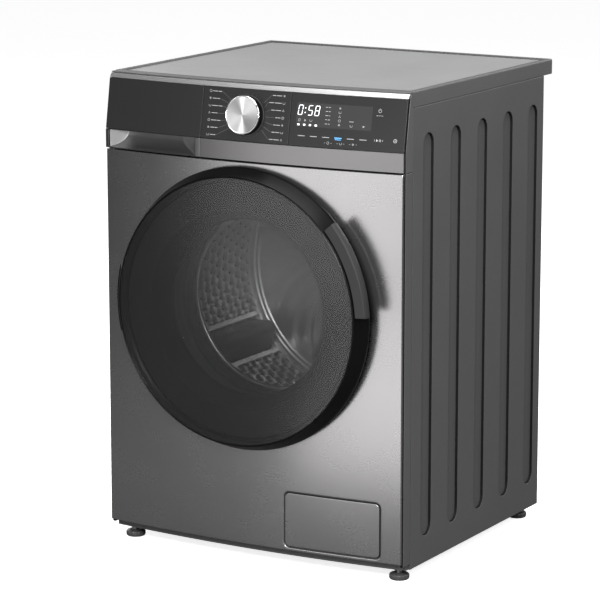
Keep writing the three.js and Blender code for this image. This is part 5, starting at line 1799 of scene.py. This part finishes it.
@dataclass
class Drum:
    """The drum: cushioned perforated shell, pressed back, three lifters, and the gasket."""

    inner: float = 236.4
    outer: float = 238.0
    front: float = 87.0
    back: float = 384.6
    around: int = 72
    deep: int = 14
    depth: float = 4.2

    def cushions(self) -> tuple[Array, Array]:
        """The inner wall, bulged in round each point of a triangular lattice.

        Returns:
            The grid, and lattice coordinates that put a perforation midway between neighbours.
        """
        turn = np.linspace(0, self.around, self.around * 8 + 1)[:, None]
        y = np.linspace(self.front, self.back, self.deep * 9 + 1)[None, :]
        row = (y - self.front) / (self.back - self.front) * self.deep
        nearest = np.full(np.broadcast(turn, row).shape, 9.0)
        base = np.floor(row)
        for step in (-1, 0, 1, 2):
            line = base + step
            shift = (turn - 0.5 * line) % 1
            across = np.minimum(shift, 1 - shift)
            nearest = np.minimum(nearest, np.hypot(across, (row - line) * 0.95))
        bulge = self.depth * (1 - smooth(nearest, 0.2, 0.54)) * smooth(row, 0.1, 0.8) \
            * smooth(-row, 0.1 - self.deep, 0.8 - self.deep)
        angle = TAU * turn / self.around
        radius = self.inner - bulge
        points = np.stack([radius * np.cos(angle), y + 0 * angle, AXIS_Z + radius * np.sin(angle)], -1)
        uv = np.stack([turn - 0.5 * row, row + 0 * turn], -1)
        return points, uv

    def pressed_back(self) -> Array:
        """The drum's back: three curved arms stand 10 forward of it, with ridges between them."""
        angle = np.linspace(0, TAU, 481)[:, None]
        radius = np.linspace(0.01, 236.4, 150)[None, :]
        swept = angle - 0.0045 * radius + 0.5
        arm = smooth(np.cos(3 * swept), 0.35, 0.62) * smooth(radius, 40, 60) * smooth(-radius, -226, -206)
        rings = sum(1 - smooth(abs(radius - at), 0, 4) for at in (30, 40, 218, 227))
        across = np.minimum((1.5 * swept / math.pi) % 1, 1 - (1.5 * swept / math.pi) % 1)
        lines = 0.5 + 0.5 * np.cos(across * 56)
        ridge = 2.4 * lines * smooth(radius, 56, 76) * smooth(-radius, -210, -196) * (1 - arm)
        hub = 1 - smooth(radius, 44, 58)
        y = 378 + 7 * smooth(radius, 60, 80) - 10 * arm - 6 * hub - 2.5 * rings - ridge
        return np.stack([radius * np.cos(angle), y, AXIS_Z + radius * np.sin(angle)], -1)

    def build(self) -> None:
        """Makes the drum's visible pieces and the gasket."""
        wall, uv = self.cushions()
        surface = Surface().grid(wall, uv=uv)
        rim = fillet([(self.inner, self.front), (229, 80), (160, 77), (158, 81.6), (156, 81.6), (156, 76),
                      (160, 75), (230, 78), (self.outer, 86), (self.outer, self.back),
                      (self.inner, self.back)], 2.0, 4, closed=False)
        surface.grid(lathe(rim, 0, AXIS_Z, self.around * 8), wrap_u=True)
        surface.build("drum_cushioned_shell", "drum", [Look.STEEL], ("drum_shell",), sharp=60)
        back = self.pressed_back()
        rear = lathe(np.array([(236.4, 385.0), (237, 386), (237, 388), (78, 388), (60, 380.2), (0, 380.2)]),
                     0, AXIS_Z, 120)
        Surface().grid(back).grid(rear, wrap_u=True).build(
            "drum_pressed_back", "drum", [Look.STAINLESS], ("drum_back",), sharp=60)
        for number, turn in enumerate((95, 215, 335)):
            self.lifter(number + 1, math.radians(turn))
        self.gasket()

    def turned(self, rise: Array, y: Array, side: Array, turn: float) -> Array:
        """Points at a distance out from the axis and to one side, turned round with a lifter."""
        x = rise * math.cos(turn) - side * math.sin(turn)
        z = AXIS_Z + rise * math.sin(turn) + side * math.cos(turn)
        return np.stack([x, np.broadcast_to(y, x.shape), z], -1)

    def lifter(self, number: int, turn: float) -> None:
        """A lifter: a wave-shaped section drawn in at both ends, with steel strips along its feet."""
        across = np.linspace(-1, 1, 41)
        height = 50 * (1 - smooth(abs(across), 0.05, 0.98)) ** 0.9
        half = 36 * np.sign(across) * abs(across) ** 0.85
        under = np.linspace(36, -36, 15)[1:-1]
        section = np.concatenate([np.stack([half, height], 1), np.stack([under, 0 * under - 1.2], 1)])
        share = np.linspace(0, 1, 61)
        swell = np.sqrt(np.clip(1 - (2 * abs(share - 0.5)) ** 7, 0.02, 1))
        y = 102 + 256 * share
        radial = 231 - section[None, :, 1] * swell[:, None]
        side = section[None, :, 0] * (0.8 + 0.2 * swell[:, None])
        Surface().solid(self.turned(radial, y[:, None], side, turn)).build(
            f"lifter_body_{number}", "drum", [Look.LIFTER], (f"lifter_{number}",))
        strips = Surface()
        for edge in (-1, 1):
            strip = block((-4.5, 4.5), (96, 366), (-1.2, 1.2), 0.8, 1)
            strips.solid(self.turned(226.5 + strip[..., 2], strip[..., 1], strip[..., 0] + edge * 39.5, turn))
        strips.build(f"lifter_strips_{number}", "drum", [Look.SILVER])
        studs = Surface()
        for k in range(16):
            y = 150 + 11 * k
            rise = 231 - 50 * (0.62 + 0.05 * math.sin(k * 0.4)) - 0.6
            stud = lathe_up(np.array([(0, 1.2), (1.2, 0.9), (1.9, -0.8), (0, -0.8)]), 0, 0, 10)
            studs.grid(self.turned(rise - stud[..., 2], y + stud[..., 1], stud[..., 0] - 9.5, turn),
                       wrap_u=True)
        studs.build(f"lifter_studs_{number}", "drum", [Look.SILVER])

    def gasket(self) -> None:
        """The rubber gasket between the cabinet and the tub, left with no body."""
        section = fillet([(156, 3), (173.8, 3), (173.8, 9), (181, 14), (178, 24), (170, 30), (180, 38),
                          (182, 44), (173, 48), (173, 60), (169, 60), (169, 44), (175, 42), (166, 30),
                          (175, 20), (177, 14), (170, 11.5), (156, 8)], 2.6, 4)
        gasket = Surface().grid(lathe(section, 0, AXIS_Z, 192), wrap_u=True, wrap_v=True).build(
            "gasket_bellows", "", [Look.RUBBER], ("door_gasket",))
        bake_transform(gasket)


# ------------ carried-over CAD nodes


@dataclass
class Carried:
    """Finishes for the CAD nodes that are shown as they are, with softened edges."""

    bevel: float = 0.5

    def build(self) -> None:
        """Dresses each node in its finish."""
        finishes = {
            Look.WHITE: ("dispenser_housing", "drawer_tray"),
            Look.BLACK: ("door_lock", "damper_cylinder_left", "damper_cylinder_right", "filter_plug",
                         "pump_impeller"),
            Look.ZINC: ("hinge_bracket", "hinge_arm", "latch_hook", "damper_rod_left", "damper_rod_right",
                        "suspension_spring_left", "suspension_spring_right", "front_bearing",
                        "rear_bearing", "heater", "drum_shaft", "motor_pulley"),
            Look.CAST: ("motor_body", "drum_spider", "drum_pulley"),
            Look.GREY: ("tub_rear", "drain_pump"),
            Look.SHADED_TUB_FRONT: ("tub_front",),
            Look.IRON: ("counterweight",),
            Look.HOSE: ("sump_hose", "drive_belt"),
        }
        for look, names in finishes.items():
            for name in names:
                self.dress(name, look.value)

    def dress(self, name: str, finish: Finish) -> None:
        """Gives a node its material and a small bevel."""
        node = bpy.data.objects[name]
        material = finish.material()
        for place_ in node.material_slots:
            place_.material = material
        bevel = node.modifiers.new("soft edges", "BEVEL")
        bevel.width = self.bevel * MM
        bevel.segments = 2
        bevel.angle_limit = math.radians(35)
        log.info("%s: dressed in %s", name, finish.name)


# ------------ studio


@dataclass
class Studio:
    """A pale floor, soft lights and the camera."""

    yaw: float = -30.2487
    pitch: float = -11.4517
    angle: float = 11.565

    def build(self) -> None:
        """Sets the floor, lights, surroundings and camera."""
        self.floor()
        self.light("top", (0.3, -0.1, 3.4), (0, 0, 0.4), (2.6, 2.6), 121)
        self.light("front", (-0.6, -2.3, 0.5), (0.0, 0, 0.5), (1.35, 0.95), 8.8)
        self.light("card", (0.12, -0.95, 0.02), (0.12, -0.6, 0.6), (0.7, 0.8), 2.8)
        self.light("door", (0.75, -1.9, 1.15), (0, -0.1, 0.42), (0.5, 0.5), 37)
        self.light("right", (3.0, 0.3, 2.2), (0, 0, 0.5), (1.6, 1.8), 46)
        self.light("left", (-3.0, 1.2, 1.8), (0, 0, 0.4), (1.4, 1.8), 34)
        self.light("rear", (-3.0, 2.0, 1.2), (-0.5, 0, 0.8), (2.2, 1.4), 17)
        self.light("back", (0.9, 3.6, 1.6), (0, 0, 0.4), (1.6, 1.6), 30)
        world = bpy.data.worlds.new("studio")
        world.use_nodes = True
        world.node_tree.nodes["Background"].inputs["Color"].default_value = (1.0, 1.0, 1.0, 1.0)
        world.node_tree.nodes["Background"].inputs["Strength"].default_value = 0.17
        bpy.context.scene.world = world
        bpy.context.scene.view_settings.view_transform = "Standard"
        self.camera()

    def floor(self) -> None:
        """A wide floor, near white to the camera and darker in reflections."""
        points = np.array([[(-60, -60, 0), (-60, 60, 0)], [(60, -60, 0), (60, 60, 0)]], float)
        mesh = bpy.data.meshes.new("studio_floor")
        mesh.from_pydata(points.reshape(-1, 3).tolist(), [], [(0, 2, 3, 1)])
        floor = bpy.data.objects.new("studio_floor", mesh)
        bpy.context.scene.collection.objects.link(floor)
        shader = Shader("studio_floor")
        seen = shader.node("LightPath").outputs["Is Camera Ray"]
        shader.feed("Base Color", shader.mix(seen, tint((0.10, 0.10, 0.10), 1), tint((0.9, 0.9, 0.9), 1)))
        shader.feed("Roughness", 0.9)
        shader.feed("Emission Color", (1.0, 1.0, 1.0, 1.0))
        shader.feed("Emission Strength", shader.math("MULTIPLY", seen, 0.8))
        mesh.materials.append(shader.material)
        floor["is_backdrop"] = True

    def light(self, name: str, where: tuple[float, float, float], aim: tuple[float, float, float],
              size: tuple[float, float], power: float) -> None:
        """Adds a soft box.

        Args:
            name: its name.
            where: its middle, in metres.
            aim: what it faces.
            size: its width and height.
            power: in watts.
        """
        data = bpy.data.lights.new(f"softbox_{name}", "AREA")
        data.shape = "RECTANGLE"
        data.size, data.size_y = size
        data.energy = power
        box = bpy.data.objects.new(f"softbox_{name}", data)
        box.location = where
        box.rotation_euler = (Vector(aim) - Vector(where)).to_track_quat("-Z", "Y").to_euler()
        box.visible_camera = False
        bpy.context.scene.collection.objects.link(box)
        box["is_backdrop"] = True

    def camera(self) -> None:
        """The camera, in front and to the right, looking slightly down."""
        data = bpy.data.cameras.new("camera")
        data.angle = math.radians(self.angle)
        camera = bpy.data.objects.new("camera", data)
        camera.location = (2.6050, -4.5493, 1.4890)
        camera.rotation_euler = (math.radians(90 + self.pitch), 0, math.radians(-self.yaw))
        bpy.context.scene.collection.objects.link(camera)
        bpy.context.scene.camera = camera


def main() -> None:
    """Builds the machine's looks and its studio."""
    parts = (SidePanels(), FrontPanel(), ServiceFlap(), Base(), Worktop(), Rear(), ControlPanel(), Drawer(),
             Door(), Drum(), Carried())
    for part in parts:
        log.info("building %s", type(part).__name__)
        part.build()
    Studio().build()


if __name__ == "__main__":
    main()
